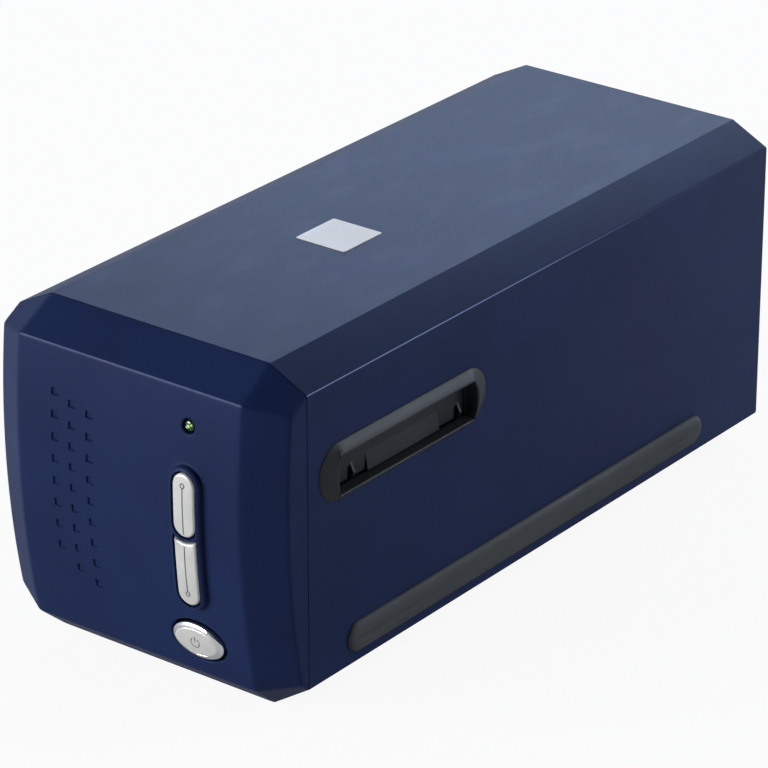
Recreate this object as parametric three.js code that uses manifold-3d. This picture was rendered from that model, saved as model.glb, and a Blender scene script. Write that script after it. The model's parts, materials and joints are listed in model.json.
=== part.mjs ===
// A desktop scanner for film negatives and mounted slides.
// Millimetres. X runs to the right, Y to the back and Z up. The film holder goes through from side
// to side, along X, and the carriage with the lamp and the optics creeps along Y. The pieces are
// laid out about the middle of the body, and set down with the origin on the table under the
// middle of the whole scanner, buttons included.

import * as THREE from 'three';
import { ConvexGeometry } from 'three/addons/geometries/ConvexGeometry.js';
import { mergeVertices } from 'three/addons/utils/BufferGeometryUtils.js';
import Module from 'manifold-3d';

const wasm = await Module();
wasm.setup();

// Clearances, shared by all pieces
const gap = {
  seam: 0.3, // between two fixed pieces
  play: 0.35, // round a shaft, a pin or a plunger
  button: 0.5, // round a button in its hole
  travelEnd: 0.4, // left at the end of a stroke
  overrun: 6, // how far a cutter runs past what it cuts
  weld: 0.0001, // points nearer than this are one point
};

// Body, a tube with eight sides
const body = {
  width: 116,
  depth: 272,
  height: 117,
  wall: 2.4,
  topCutAcross: 14.1,
  topCutDown: 7.1,
  baseCutAcross: 14.1,
  baseCutUp: 9.3,
};

// Feet under the base tray
const foot = { height: 1.5, sunk: 0.8, radius: 7, edge: 0.5, fromSide: 24, fromEnd: 26 };

// Front bezel, a shell with a face that is bowed from top to bottom
const bezel = {
  depth: 17, // from the front of the face to the parting line
  bowRadius: 300,
  sideCutAcross: 13.3,
  sideCutBack: 7.7,
  topCutDown: 8.85,
  baseCutUp: 8.8,
  wall: 2.4,
  finestBow: 8, // longest straight edge in what follows the bow
};

// Lip on the back of the bezel, inside the cover and the tray, and on the tray inside the cover
const lip = { thickness: 1.4, reach: 4, rootDepth: 6, overlap: 1 };

// Levels and planes of the body
const halfWidth = body.width / 2;
const frontY = -body.depth / 2;
const rearY = body.depth / 2;
const baseZ = foot.height;
const roofZ = baseZ + body.height;
const sillZ = baseZ + body.baseCutUp; // lower edge of the sides
const shoulderZ = roofZ - body.topCutDown;
const partingY = frontY + bezel.depth;
const floorZ = baseZ + body.wall;
const innerSideX = halfWidth - body.wall;
const faceLowZ = baseZ + bezel.baseCutUp;
const faceHighZ = roofZ - bezel.topCutDown;

// Places on the face, as shares of its height
const faceShares = { crown: 0.631, lamp: 0.88, scan: 0.498, power: 0.125 };
const faceLevel = (share) => faceLowZ + (faceHighZ - faceLowZ) * share;
const crownZ = faceLevel(faceShares.crown); // where the bowed face comes furthest forward

// Scan buttons, one above the other, in one raised rim
const scan = {
  centreShare: 0.4207, // of half the body's width
  width: 8.4,
  lengthShare: 0.462, // of the face's height, over both buttons
  upperShare: 0.4706, // of that length
  divide: 0.9, // from the round end of the upper one down to the corners of the lower one
  lowerSag: 1.3, // of the hollow top edge of the lower one
  proud: 2.4,
  edge: 0.7,
  flange: 1.2,
  flangeThickness: 1.2,
};
const scanX = halfWidth * scan.centreShare;
const scanLength = (faceHighZ - faceLowZ) * scan.lengthShare;
const scanMiddleZ = faceLevel(faceShares.scan);
const upperTopZ = scanMiddleZ + scanLength / 2;
const upperBottomZ = upperTopZ - scanLength * scan.upperShare;
const lowerTopZ = upperBottomZ - scan.divide;
const lowerBottomZ = scanMiddleZ - scanLength / 2;
const rim = { margin: 2.2, proud: 2, edgeRadius: 1.6 };

// Power button, an oval dome
const power = {
  width: 20.4,
  height: 12.9,
  gap: 0.9,
  rise: 1.9,
  domeShare: 0.368, // of the rise, inside the polished edge
  flange: 1.6,
  flangeThickness: 1.2,
};
const powerZ = faceLevel(faceShares.power);
const powerDomeShares = [0.86, 0.62, 0.36];

// Lamp on the front
const lamp = { besideScan: 0.2, hole: 2.5, lens: 1.8, dome: 0.7, sunk: 0.5, collar: 3.4, collarThickness: 1 };
const lampX = scanX + lamp.besideScan;
const lampZ = faceLevel(faceShares.lamp);

// Dimples on the front, in three columns left of the middle. Their places are shares of half the
// body's width, and their levels and pitches shares of the face's height.
const dimple = { width: 2.4, height: 2.3, depth: 1.1 };
const dimpleColumns = [
  { acrossShare: 0.5052, topShare: 0.847, pitchShare: 0.0775, count: 8 },
  { acrossShare: 0.3845, topShare: 0.823, pitchShare: 0.073, count: 9 },
  { acrossShare: 0.2621, topShare: 0.807, pitchShare: 0.0755, count: 9 },
];

// Button board behind the bezel, with its push switches
const board = {
  leftOfButtons: 16.4,
  fromSide: 16,
  aboveFaceFoot: 1.7,
  belowFaceTop: 5.6,
  ahead: 2, // of the parting line
  thickness: 1.6,
  pinInset: 5,
  upperPinDrop: 10,
  lowerPinRise: 33,
  postRadius: 2.5,
  pinRadius: 1.2,
  pinTail: 0.6,
};
const boardLeft = scanX - board.leftOfButtons;
const boardRight = halfWidth - board.fromSide;
const boardLow = faceLowZ + board.aboveFaceFoot;
const boardHigh = faceHighZ - board.belowFaceTop;
const boardFront = partingY - board.ahead;
const pushSwitch = { side: 7, depth: 4, bore: 1.9, boreDepth: 2.8, stem: 1.5, entryDepth: 0.6 };

// Film slot in each side: the pill-shaped bezel and the sleeve behind it
const slot = {
  fromFront: 65.5,
  belowRoof: 37.75,
  length: 86,
  height: 19.9,
  proud: 2,
  edge: 0.5,
  crown: 4.6,
  mouthLength: 69,
  mouthHeight: 12.7,
  mouthDrop: 1, // of the mouth's middle under the middle of the bezel
  mouthBulge: 2,
  lintel: 2.1, // thickness of the bezel in front of the door
  sleeveWall: 2,
  sleeveFloor: 1.4,
  sleeveDepth: 15,
  sleeveCorner: 3,
  roofWall: 1.2,
};
const filmY = frontY + slot.fromFront; // middle of the film path
const slotZ = roofZ - slot.belowRoof;
const mouthFrontY = filmY - slot.mouthLength / 2;
const mouthBackY = filmY + slot.mouthLength / 2;
const mouthMiddleZ = slotZ - slot.mouthDrop;
const mouthLowZ = mouthMiddleZ - slot.mouthHeight / 2;
const mouthHighZ = mouthMiddleZ + slot.mouthHeight / 2;
const sleeveInnerX = halfWidth - slot.sleeveDepth;

// Dust door in each slot
const door = {
  thickness: 1.6,
  behindLintel: 0.3,
  endGap: 0.4,
  lowGap: 0.9,
  barrel: 1.7,
  bore: 1.1,
  pin: 0.75,
  pivotDrop: 0.7, // of the pivot under the place where the barrel would touch the mouth's level
  belly: 0.9,
  bellyFrontInset: 18,
  bellyBackInset: 14,
  bellyRise: 5.7,
  bellyDrop: 0.4,
  finFrontInset: 10,
  finBackInset: 4,
  finWidth: 1,
  finReach: 1.5,
  finRise: 5,
  finPeak: 2,
  slit: 1.1,
  slitRise: 4,
  springSpace: 6.5,
};
const doorFaceX = halfWidth - slot.lintel - door.behindLintel;
const doorLowZ = mouthLowZ + door.lowGap;
const pivotX = doorFaceX - door.barrel;
const pivotZ = mouthHighZ + door.barrel - door.pivotDrop;
const chamberRoofZ = pivotZ + door.barrel + gap.seam;
const sleeveRoofZ = chamberRoofZ + slot.roofWall;
const doorSpring = { wire: 0.2, coil: 1.1, turns: 4, stepsPerTurn: 8, sides: 5, pitch: 1.1, room: 1.5 };

// Rubber side pads
const pad = { length: 199, height: 10.6, aboveSill: 8.8, proud: 1.5, sunk: 0.8, edgeRadius: 1.2 };
const padZ = sillZ + pad.aboveSill;

// Square label on top
const label = { side: 20, x: -0.6, fromFront: 107.9, thickness: 0.2, corner: 0.6 };
const labelY = frontY + label.fromFront;

// Rear panel and its screws
const rear = {
  thickness: 2.4,
  inset: 2,
  screwFromSide: 11,
  screwAboveSill: 3.2,
  screwBelowRoof: 18.5,
  bossRadius: 4,
  bossLength: 12,
};
const panelFrontY = rearY - rear.inset - rear.thickness;
const panelBackY = rearY - rear.inset;
const rearScrewX = halfWidth - rear.screwFromSide;
const rearScrewLowZ = sillZ + rear.screwAboveSill;
const rearScrewHighZ = roofZ - rear.screwBelowRoof;
const screw = { radius: 1.3, head: 2.8, headHeight: 1.6, length: 10, slot: 0.6, slotRise: 0.6 };

// Film guide between the two slots
const guide = {
  belowMouth: 0.2,
  thickness: 3.2,
  beyondMouth: 3,
  rail: 2.7,
  railHeight: 11.8,
  windowX: 19,
  windowY: 14,
  legWidth: 4,
  legDepth: 4,
  capInset: 4.7,
  capThickness: 2,
  runner: 4,
  runnerDrop: 3.5,
  runnerInset: 3,
};
const guideEndX = sleeveInnerX - gap.seam;
const guideFloorZ = mouthLowZ - guide.belowMouth;
const guideLowZ = guideFloorZ - guide.thickness;
const guideFrontY = mouthFrontY - guide.beyondMouth;
const guideBackY = mouthBackY + guide.beyondMouth;
const railTopZ = guideFloorZ + guide.railHeight;
const capTopZ = railTopZ + guide.capThickness;
const detent = {
  x: -20, aboveFloor: 4.2, radius: 1.5, tip: 1.1, length: 6, travel: 1, boss: 3.4, bossWall: 1.4,
};
const detentZ = guideFloorZ + detent.aboveFloor;

// Guide rods, their brackets, the lead screw and the motor
const rod = {
  radius: 3,
  heightShare: 0.3949, // of the height from the floor to the film guide
  rightShare: 0.7026, // of half the film guide's length
  leftShare: 0.3448, // of half the body's width
  short: 0.5,
};
const bracket = {
  margin: 6, clear: 0.5, fromRear: 17.8, thickness: 4, overSockets: 4.4, archMargin: 6,
};
const rodZ = floorZ + (guideLowZ - floorZ) * rod.heightShare;
const rodRightX = guideEndX * rod.rightShare;
const rodLeftX = -halfWidth * rod.leftShare;
const frontBracketY = partingY + lip.reach + bracket.clear;
const rearBracketY = rearY - bracket.fromRear;
const motor = { side: 19, length: 18, fromRear: 30, corner: 2.5, boreRadius: 3.4, boreDepth: 6 };
const motorFrontY = rearY - motor.fromRear;
const motorBracket = { thickness: 2, foot: 12, trim: 5 };
const leadScrew = {
  besideRod: 18, fromFront: 112, radius: 2.6, collar: 4, collarLength: 3, stickOut: 0.6,
};
const leadScrewX = rodLeftX - leadScrew.besideRod;
const leadScrewFrontY = frontY + leadScrew.fromFront;
const leadScrewBackY = motorFrontY + motor.boreDepth - gap.seam;
const screwBearing = { width: 10, depth: 6, margin: 5.5 };

// Screws under the base and the lugs that they go into
const lug = {
  fromSide: 18, fromParting: 27, fromRear: 40, width: 10, aboveSill: 2.2, height: 7, bossRadius: 4.5, reachIn: 4,
};
const lugX = halfWidth - lug.fromSide;
const lugFrontY = partingY + lug.fromParting;
const lugBackY = rearY - lug.fromRear;
const lugLowZ = sillZ + lug.aboveSill;
const lugInnerX = lugX - lug.reachIn;
const baseScrew = { headSunk: 4, tip: 2.8 };

// Main board on the tray, with its sockets at the back
const mainBoard = {
  besideLugs: 1.5,
  neckBesideArch: 3,
  length: 130,
  neckFromRear: 26,
  standoff: 4.3,
  sideClear: 1,
  thickness: 1.6,
  postRadius: 2.5,
  postInset: 5,
};
const mainBoardLeft = rodLeftX + bracket.archMargin + mainBoard.sideClear;
const mainBoardRight = lugX - lug.bossRadius - mainBoard.besideLugs;
const mainBoardNeckRight = rodRightX - bracket.archMargin - mainBoard.neckBesideArch;
const mainBoardNeckY = rearY - mainBoard.neckFromRear;
const mainBoardFrontY = mainBoardNeckY - mainBoard.length;
const mainBoardZ = floorZ + mainBoard.standoff;
const mainBoardTopZ = mainBoardZ + mainBoard.thickness;
const usb = {
  fromLeft: 7, width: 12, height: 10.8, depth: 16, cavityWidth: 8.4, cavityHeight: 7.8, cavityDepth: 9,
};
const usbTongue = { width: 5.6, height: 3.2, length: 6.5 };
const inlet = {
  fromRight: 5.5, width: 9, height: 10.8, depth: 14, bore: 3.1, boreDepth: 9, pin: 1, pinLength: 7,
};
const usbX = mainBoardLeft + usb.fromLeft;
const inletX = mainBoardNeckRight - inlet.fromRight;
const socketRoom = 0.5;
const archTopZ = mainBoardTopZ + usb.height + bracket.overSockets;
const chip = { width: 18, depth: 18, height: 2.2, fromLeft: 21, fromFront: 54 };
const flatCable = { fromLeft: 1, width: 12, thickness: 0.7, aboveFloor: 2.3, riser: 2 };

// Scan carriage
const carriage = {
  leftMargin: 7,
  rightMargin: 5,
  aheadOfFilm: 17.5,
  fromRear: 34,
  thickness: 3,
  skirt: 2.5,
  skirtDrop: 6,
  windowMargin: 4,
  windowInset: 12,
};
const carriageLeft = rodLeftX - carriage.leftMargin;
const carriageRight = rodRightX + carriage.rightMargin;
const carriageFrontY = filmY - carriage.aheadOfFilm;
const carriageBackY = rearY - carriage.fromRear;
const carriageLowZ = rodZ + rod.radius;
const carriageTopZ = carriageLowZ + carriage.thickness;
const carriageMiddleZ = carriageLowZ + carriage.thickness / 2;
const bearing = { width: 11, length: 12, drop: 9, fromEnd: 10, middleFromEnd: 42 };
const mirror = { width: 46, thickness: 3, underGuide: 4, endInset: 1.5, cheek: 3, cheekX: 18 };
const mirrorRise = guideLowZ - mirror.underGuide - carriageTopZ;
const mirrorFootY = filmY + mirrorRise / 2;
const axisZLevel = carriageTopZ + mirrorRise / 2; // height of the optical axis behind the mirror
const optics = { behindFilm: 74.5, lensLength: 32, rimWidth: 3, glassSunk: 2, saddleWall: 3 };
const lensRadius = mirrorRise / 2 - optics.saddleWall;
const lensFrontY = filmY + optics.behindFilm;
const lensBackY = lensFrontY + optics.lensLength;
const sensor = {
  width: 48, height: 9, depth: 4, boardWidth: 54, aboveAxis: 13, boardThickness: 1.6, wall: 2.4,
};
const sensorTopZ = axisZLevel + sensor.aboveAxis;
const arm = {
  halfWidth: 26,
  postWidth: 5,
  behindFilm: 59.5,
  thickness: 5,
  aboveCap: 17,
  plate: 3,
  footDepth: 6,
  footHeight: 2,
};
const armBackY = filmY + arm.behindFilm;
const armTopZ = capTopZ + arm.aboveCap;
const lampBar = { halfWidth: 25, depth: 14, height: 8, lens: 1.2, lensInset: 2 };
const nut = { width: 10, length: 12, behindFilm: 96.5, armHeight: 6 };
const nutY = filmY + nut.behindFilm;

// How finely round shapes are cut up
const steps = { bow: 14, small: 12, round: 20, corner: 4, large: 28, soft: 3 };

// Finishes
function finish(color, roughness, metalness) {
  return new THREE.MeshStandardMaterial({ color, roughness, metalness });
}
const navyPlastic = finish('#1d2750', 0.42, 0);
const blackPlastic = finish('#26282a', 0.5, 0);
const rubber = finish('#2b2c2e', 0.8, 0);
const silverPlastic = finish('#c9cacd', 0.3, 0.6);
const greenLens = finish('#3f8f2c', 0.2, 0);
const whiteFilm = finish('#e9e9ea', 0.5, 0);
const circuitBoard = finish('#1f5a37', 0.6, 0);
const steel = finish('#a9abae', 0.35, 0.9);
const brass = finish('#b7975a', 0.35, 0.9);
const greyPlastic = finish('#6d7176', 0.6, 0);
const darkGlass = finish('#15181c', 0.1, 0);
const whiteDiffuser = finish('#f4f2ec', 0.5, 0);

// Outlines are lists of flat points that run anticlockwise
const point = (a, b) => new THREE.Vector2(a, b);

function withoutRepeats(outline) {
  return outline.filter((corner, index) => {
    const next = outline[(index + 1) % outline.length];
    return corner.distanceTo(next) > gap.weld;
  });
}

function arcPoints(centre, radiusA, radiusB, startAngle, endAngle, count) {
  return Array.from({ length: count + 1 }, (_, index) => {
    const angle = startAngle + ((endAngle - startAngle) * index) / count;
    return point(centre.x + radiusA * Math.cos(angle), centre.y + radiusB * Math.sin(angle));
  });
}

function oval(centre, radiusA, radiusB, count) {
  return withoutRepeats(arcPoints(centre, radiusA, radiusB, 0, 2 * Math.PI, count));
}

function circle(centre, radius, count = steps.small) {
  return oval(centre, radius, radius, count);
}

function rectangle(low, high) {
  return [point(low.x, low.y), point(high.x, low.y), point(high.x, high.y), point(low.x, high.y)];
}

function roundedRectangle(low, high, radius, count = steps.corner) {
  const quarter = Math.PI / 2;
  const centres = rectangle(
    point(low.x + radius, low.y + radius),
    point(high.x - radius, high.y - radius),
  );
  const outline = centres.flatMap((centre, index) => {
    const start = Math.PI + quarter * index;
    return arcPoints(centre, radius, radius, start, start + quarter, count);
  });
  return withoutRepeats(outline);
}

function stadium(low, high, count = steps.corner) {
  return roundedRectangle(low, high, Math.min(high.x - low.x, high.y - low.y) / 2, count);
}

// Splits the long edges of an outline, so that it can follow the bowed face
function finer(outline, longest) {
  return outline.flatMap((corner, index) => {
    const next = outline[(index + 1) % outline.length];
    const parts = Math.max(1, Math.ceil(corner.distanceTo(next) / longest));
    return Array.from({ length: parts }, (_, part) => corner.clone().lerp(next, part / parts));
  });
}

// Moves each edge of an outline inwards, or outwards if the distance is negative
function inset(outline, distance) {
  return outline.map((corner, index) => {
    const before = outline[(index + outline.length - 1) % outline.length];
    const after = outline[(index + 1) % outline.length];
    const incoming = corner.clone().sub(before).normalize();
    const outgoing = after.clone().sub(corner).normalize();
    const normalIn = point(-incoming.y, incoming.x);
    const normalOut = point(-outgoing.y, outgoing.x);
    const stretch = distance / (1 + normalIn.dot(normalOut));
    return corner.clone().addScaledVector(normalIn.add(normalOut), stretch);
  });
}

// Solids: a closed mesh becomes a solid that can be joined and cut
function solidFromMesh(positions, triangles) {
  const flatPoints = new Float32Array(positions);
  const faces = triangles.filter(([a, b, c]) => a !== b && b !== c && c !== a);
  const mesh = new wasm.Mesh({
    numProp: 3,
    vertProperties: flatPoints,
    triVerts: new Uint32Array(faces.flat()),
  });
  return new wasm.Manifold(mesh);
}

function solidFromGeometry(geometry) {
  const bare = geometry.clone();
  bare.deleteAttribute('normal');
  bare.deleteAttribute('uv');
  const merged = mergeVertices(bare, gap.weld);
  const index = Array.from(merged.index.array);
  const faceCount = index.length / 3;
  const triangles = Array.from({ length: faceCount }, (_, face) => index.slice(3 * face, 3 * face + 3));
  return solidFromMesh(merged.attributes.position.array, triangles);
}

const axisX = new THREE.Vector3(1, 0, 0);
const axisY = new THREE.Vector3(0, 1, 0);
const axisZ = new THREE.Vector3(0, 0, 1);

// A straight prism. Its outline is in (y, z) along X, in (x, z) along Y and in (x, y) along Z.
function prism(axis, outline, from, to) {
  const geometry = new THREE.ExtrudeGeometry(new THREE.Shape(outline), {
    depth: to - from,
    bevelEnabled: false,
  });
  if (axis === 'X') {
    geometry.applyMatrix4(new THREE.Matrix4().makeBasis(axisY, axisZ, axisX));
    geometry.translate(from, 0, 0);
  } else if (axis === 'Y') {
    geometry.rotateX(Math.PI / 2);
    geometry.translate(0, to, 0);
  } else {
    geometry.translate(0, 0, from);
  }
  return solidFromGeometry(geometry);
}

const between = (a, b) => [Math.min(a, b), Math.max(a, b)];

function block(x, y, z) {
  return prism('Z', rectangle(point(x[0], y[0]), point(x[1], y[1])), z[0], z[1]);
}

function cylinder(axis, centre, radius, from, to, count = steps.small) {
  return prism(axis, circle(centre, radius, count), from, to);
}

// A turned piece about a line along Y. The profile is a list of [radius, y] pairs.
function turnedAlongY(profile, centreX, centreZ, count = steps.round) {
  const geometry = new THREE.LatheGeometry(
    profile.map(([radius, along]) => point(radius, along)),
    count,
  );
  geometry.translate(centreX, 0, centreZ);
  const solid = solidFromGeometry(geometry);
  return solid.volume() < 0 ? solidFromGeometry(flipped(geometry)) : solid;
}

function flipped(geometry) {
  const turned = geometry.clone();
  const order = turned.index.array;
  for (let face = 0; face < order.length; face += 3) {
    [order[face + 1], order[face + 2]] = [order[face + 2], order[face + 1]];
  }
  return turned;
}

// A skin carried over a row of rings that have as many points each, with both ends closed
function loft(rings, flatten) {
  const count = rings[0].length;
  const triangles = [];
  for (let level = 0; level < rings.length - 1; level += 1) {
    for (let index = 0; index < count; index += 1) {
      const here = level * count + index;
      const next = level * count + ((index + 1) % count);
      triangles.push([here, next, next + count], [here, next + count, here + count]);
    }
  }
  const last = (rings.length - 1) * count;
  const endFaces = THREE.ShapeUtils.triangulateShape(rings[0].map(flatten), []);
  endFaces.forEach(([a, b, c]) => triangles.push([a, c, b]));
  endFaces.forEach(([a, b, c]) => triangles.push([a + last, b + last, c + last]));
  const positions = rings.flat().flatMap((corner) => corner.toArray());
  const signedVolume = triangles.reduce((sum, [a, b, c]) => {
    const [first, second, third] = [a, b, c].map((corner) => rings.flat()[corner]);
    return sum + first.dot(second.clone().cross(third));
  }, 0);
  const outward = signedVolume > 0 ? triangles : triangles.map(([a, b, c]) => [a, c, b]);
  return solidFromMesh(positions, outward);
}

const flattenX = (corner) => point(corner.y, corner.z);
const flattenY = (corner) => point(corner.x, corner.z);

// The scene: each piece is a mesh with its own name
const scanner = new THREE.Group();

function addPiece(name, solid, material) {
  const mesh = solid.translate([0, scan.proud / 2, 0]).getMesh();
  const geometry = new THREE.BufferGeometry();
  geometry.setAttribute('position', new THREE.BufferAttribute(mesh.vertProperties, mesh.numProp));
  geometry.setIndex(new THREE.BufferAttribute(mesh.triVerts, 1));
  const piece = new THREE.Mesh(geometry, material);
  piece.name = name;
  scanner.add(piece);
}

function mirrored(solid) {
  return solid.mirror([1, 0, 0]);
}

// Body section, seen from the front, anticlockwise in (x, z)
function bodyOutline() {
  const topX = halfWidth - body.topCutAcross;
  const baseX = halfWidth - body.baseCutAcross;
  return [
    point(halfWidth, sillZ),
    point(halfWidth, shoulderZ),
    point(topX, roofZ),
    point(-topX, roofZ),
    point(-halfWidth, shoulderZ),
    point(-halfWidth, sillZ),
    point(-baseX, baseZ),
    point(baseX, baseZ),
  ];
}

// The ring between two insets of the body section, kept above or below a level
function bodyRing(outer, inner, from, to) {
  const shell = prism('Y', inset(bodyOutline(), outer), from, to);
  return shell.subtract(prism('Y', inset(bodyOutline(), inner), from - gap.overrun, to + gap.overrun));
}

// The room inside the walls and inside the lips that stand between the tray and the cover
function bodyRoom() {
  const room = prism('Y', inset(bodyOutline(), body.wall), frontY, rearY);
  const lipInset = body.wall + gap.seam + lip.thickness + gap.seam;
  const lips = bodyRing(0, lipInset, frontY, rearY);
  return room.subtract(lips.intersect(above(sillZ - lip.reach - gap.seam)));
}

function above(level) {
  const side = body.width;
  return block([-side, side], [-body.depth, body.depth], [level, level + body.width + body.height]);
}

function below(level) {
  const side = body.width;
  return block([-side, side], [-body.depth, body.depth], [level - body.width - body.height, level]);
}

// Slot openings in the side walls
function sleeveOutline(grow) {
  const low = point(mouthFrontY - slot.sleeveWall - grow, mouthLowZ - slot.sleeveFloor - grow);
  const high = point(mouthBackY + slot.sleeveWall + grow, sleeveRoofZ + grow);
  return roundedRectangle(low, high, slot.sleeveCorner + grow);
}

function padOutline(grow) {
  const low = point(-pad.length / 2 - grow, padZ - pad.height / 2 - grow);
  const high = point(pad.length / 2 + grow, padZ + pad.height / 2 + grow);
  return stadium(low, high);
}

// Top cover: roof, cut corners and sides in one moulding
function topCover() {
  const shellFrom = partingY + gap.seam / 2;
  let cover = bodyRing(0, body.wall, shellFrom, rearY).intersect(above(sillZ + gap.seam));
  for (const side of [-1, 1]) cover = cover.add(rearBoss(side, rearScrewHighZ));
  const reach = halfWidth + gap.overrun;
  cover = cover.subtract(prism('X', sleeveOutline(gap.seam), -reach, reach));
  for (const side of [-1, 1]) {
    for (const y of [lugFrontY, lugBackY]) cover = cover.add(coverLug(side, y));
    const pocketFloor = halfWidth - pad.sunk;
    const pocket = prism('X', padOutline(gap.seam), pocketFloor, reach);
    cover = cover.subtract(side > 0 ? pocket : mirrored(pocket));
  }
  return cover;
}

// A lug on the cover's side wall that takes a base screw
function coverLug(side, y) {
  const outerX = innerSideX + body.wall / 2;
  const top = lugLowZ + lug.height;
  const plate = block([lugInnerX, outerX], [y - lug.width / 2, y + lug.width / 2], [lugLowZ, top]);
  const boreRadius = screw.radius + gap.seam;
  const bore = cylinder('Z', point(lugX, y), boreRadius, lugLowZ - gap.overrun, top - screw.radius);
  const drilled = plate.subtract(bore);
  return side > 0 ? drilled : mirrored(drilled);
}

// A boss that takes a rear panel screw, carried by a web from the side wall
function rearBoss(side, height) {
  const to = panelFrontY - gap.seam;
  const from = to - rear.bossLength;
  const centre = point(rearScrewX, height);
  const round = cylinder('Y', centre, rear.bossRadius, from, to, steps.round);
  const webLevels = [height - screw.head, height + screw.head];
  const web = block([rearScrewX, innerSideX + body.wall / 2], [from, to], webLevels);
  const bore = cylinder('Y', centre, screw.radius + gap.seam, from + screw.head, to + gap.overrun);
  const boss = round.add(web).subtract(bore);
  return side > 0 ? boss : mirrored(boss);
}

// Base tray: floor, cut lower corners, posts and lugs
function baseTray() {
  let tray = bodyRing(0, body.wall, partingY + gap.seam / 2, rearY).intersect(below(sillZ));
  const outer = body.wall + gap.seam;
  const inner = outer + lip.thickness;
  const lipFrom = partingY + lip.rootDepth;
  const lipTo = panelFrontY - gap.seam;
  const tongue = bodyRing(outer, inner, lipFrom, lipTo);
  const root = bodyRing(body.wall / 2, inner, lipFrom, lipTo);
  const sides = above(sillZ - lip.reach);
  tray = tray.add(tongue.intersect(below(sillZ + lip.reach)).intersect(sides));
  tray = tray.add(root.intersect(below(sillZ - gap.seam)).intersect(sides));
  for (const side of [-1, 1]) {
    tray = tray.add(trayRearBoss(side));
    for (const y of [lugFrontY, lugBackY]) {
      const centre = point(side * lugX, y);
      tray = tray.add(cylinder('Z', centre, lug.bossRadius, baseZ, lugLowZ - gap.seam, steps.round));
      tray = tray.subtract(block(
        between(side * innerSideX, side * (lugInnerX - gap.seam)),
        [y - lug.width / 2 - gap.seam, y + lug.width / 2 + gap.seam],
        [lugLowZ - gap.seam, roofZ],
      ));
      tray = tray.subtract(cylinder('Z', centre, screw.radius + gap.seam, baseZ - gap.overrun, roofZ));
      tray = tray.subtract(cylinder(
        'Z', centre, screw.head + gap.seam, baseZ - gap.overrun, baseZ + baseScrew.headSunk, steps.round,
      ));
    }
    for (const y of footPlaces()) {
      const pocketRadius = foot.radius + gap.seam;
      const centre = point(side * footX(), y);
      const [from, to] = [baseZ - gap.overrun, baseZ + foot.sunk];
      tray = tray.subtract(cylinder('Z', centre, pocketRadius, from, to, steps.round));
    }
  }
  for (const [x, y] of boardPosts()) {
    tray = tray.add(cylinder('Z', point(x, y), mainBoard.postRadius, floorZ - body.wall / 2, mainBoardZ));
  }
  return tray;
}

function trayRearBoss(side) {
  const boss = rearBoss(side, rearScrewLowZ);
  const reach = innerSideX - body.wall;
  const top = sillZ + lip.reach + lip.rootDepth;
  return boss.intersect(block([-reach, reach], [-body.depth, body.depth], [baseZ, top]));
}

function footX() {
  return halfWidth - foot.fromSide;
}

function footPlaces() {
  return [frontY + foot.fromEnd, rearY - foot.fromEnd];
}

function boardPosts() {
  const { postInset } = mainBoard;
  const xs = [mainBoardLeft + postInset, mainBoardRight - postInset];
  const ys = [mainBoardFrontY + postInset, mainBoardNeckY - postInset];
  return xs.flatMap((x) => ys.map((y) => [x, y]));
}

// Front bezel. The face follows a large arc from top to bottom.
function faceY(z) {
  const rise = z - crownZ;
  return frontY + bezel.bowRadius - Math.sqrt(bezel.bowRadius ** 2 - rise ** 2);
}

// The convex skin of the bezel, or the same skin moved inwards for its hollow. Its straight part
// lies between the back levels.
function bezelSkin(depthIn, backLevels) {
  const outline = inset(bodyOutline(), depthIn);
  const [low, high] = [faceLowZ, faceHighZ];
  const cutAngle = Math.atan2(bezel.sideCutBack, bezel.sideCutAcross);
  const faceHalf = halfWidth - bezel.sideCutAcross - depthIn * Math.tan(cutAngle / 2);
  const cutBack = bezel.sideCutBack + depthIn * (1 + Math.tan((Math.PI / 2 - cutAngle) / 2));
  const sideX = halfWidth - depthIn;
  const straight = backLevels.flatMap((y) => (
    outline.map((corner) => new THREE.Vector3(corner.x, y, corner.y))
  ));
  const faceEdge = (z) => new THREE.Vector3(faceHalf, faceY(z) + depthIn, z);
  const sideEdge = (z) => new THREE.Vector3(sideX, faceY(z) + cutBack, z);
  const corners = [
    new THREE.Plane().setFromCoplanarPoints(straight[1], faceEdge(high), straight[2]),
    new THREE.Plane().setFromCoplanarPoints(straight[7], faceEdge(low), straight[0]),
  ];
  const middle = new THREE.Vector3(0, partingY, (low + high) / 2);
  corners.forEach((plane) => {
    if (plane.distanceToPoint(middle) > 0) plane.negate();
  });
  const insideCorners = (place) => corners.every((plane) => plane.distanceToPoint(place) < 0);
  const heights = Array.from({ length: steps.bow + 1 }, (_, index) => {
    return low + ((high - low) * index) / steps.bow;
  });
  const sideHeights = heights.filter((z) => insideCorners(sideEdge(z)));
  sideHeights.push(crossing(sideEdge, corners[0], sideHeights[sideHeights.length - 1], high));
  sideHeights.push(crossing(sideEdge, corners[1], sideHeights[0], low));
  const rightHalf = [...heights.map(faceEdge), ...sideHeights.map(sideEdge)];
  const leftHalf = rightHalf.map((place) => new THREE.Vector3(-place.x, place.y, place.z));
  return solidFromGeometry(new ConvexGeometry([...straight, ...rightHalf, ...leftHalf]));
}

// Height at which an edge of the bezel meets a corner facet, found by halving
function crossing(edge, plane, inside, outside) {
  let [kept, past] = [inside, outside];
  for (let round = 0; round < steps.large; round += 1) {
    const middle = (kept + past) / 2;
    if (plane.distanceToPoint(edge(middle)) < 0) kept = middle;
    else past = middle;
  }
  return kept;
}

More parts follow.
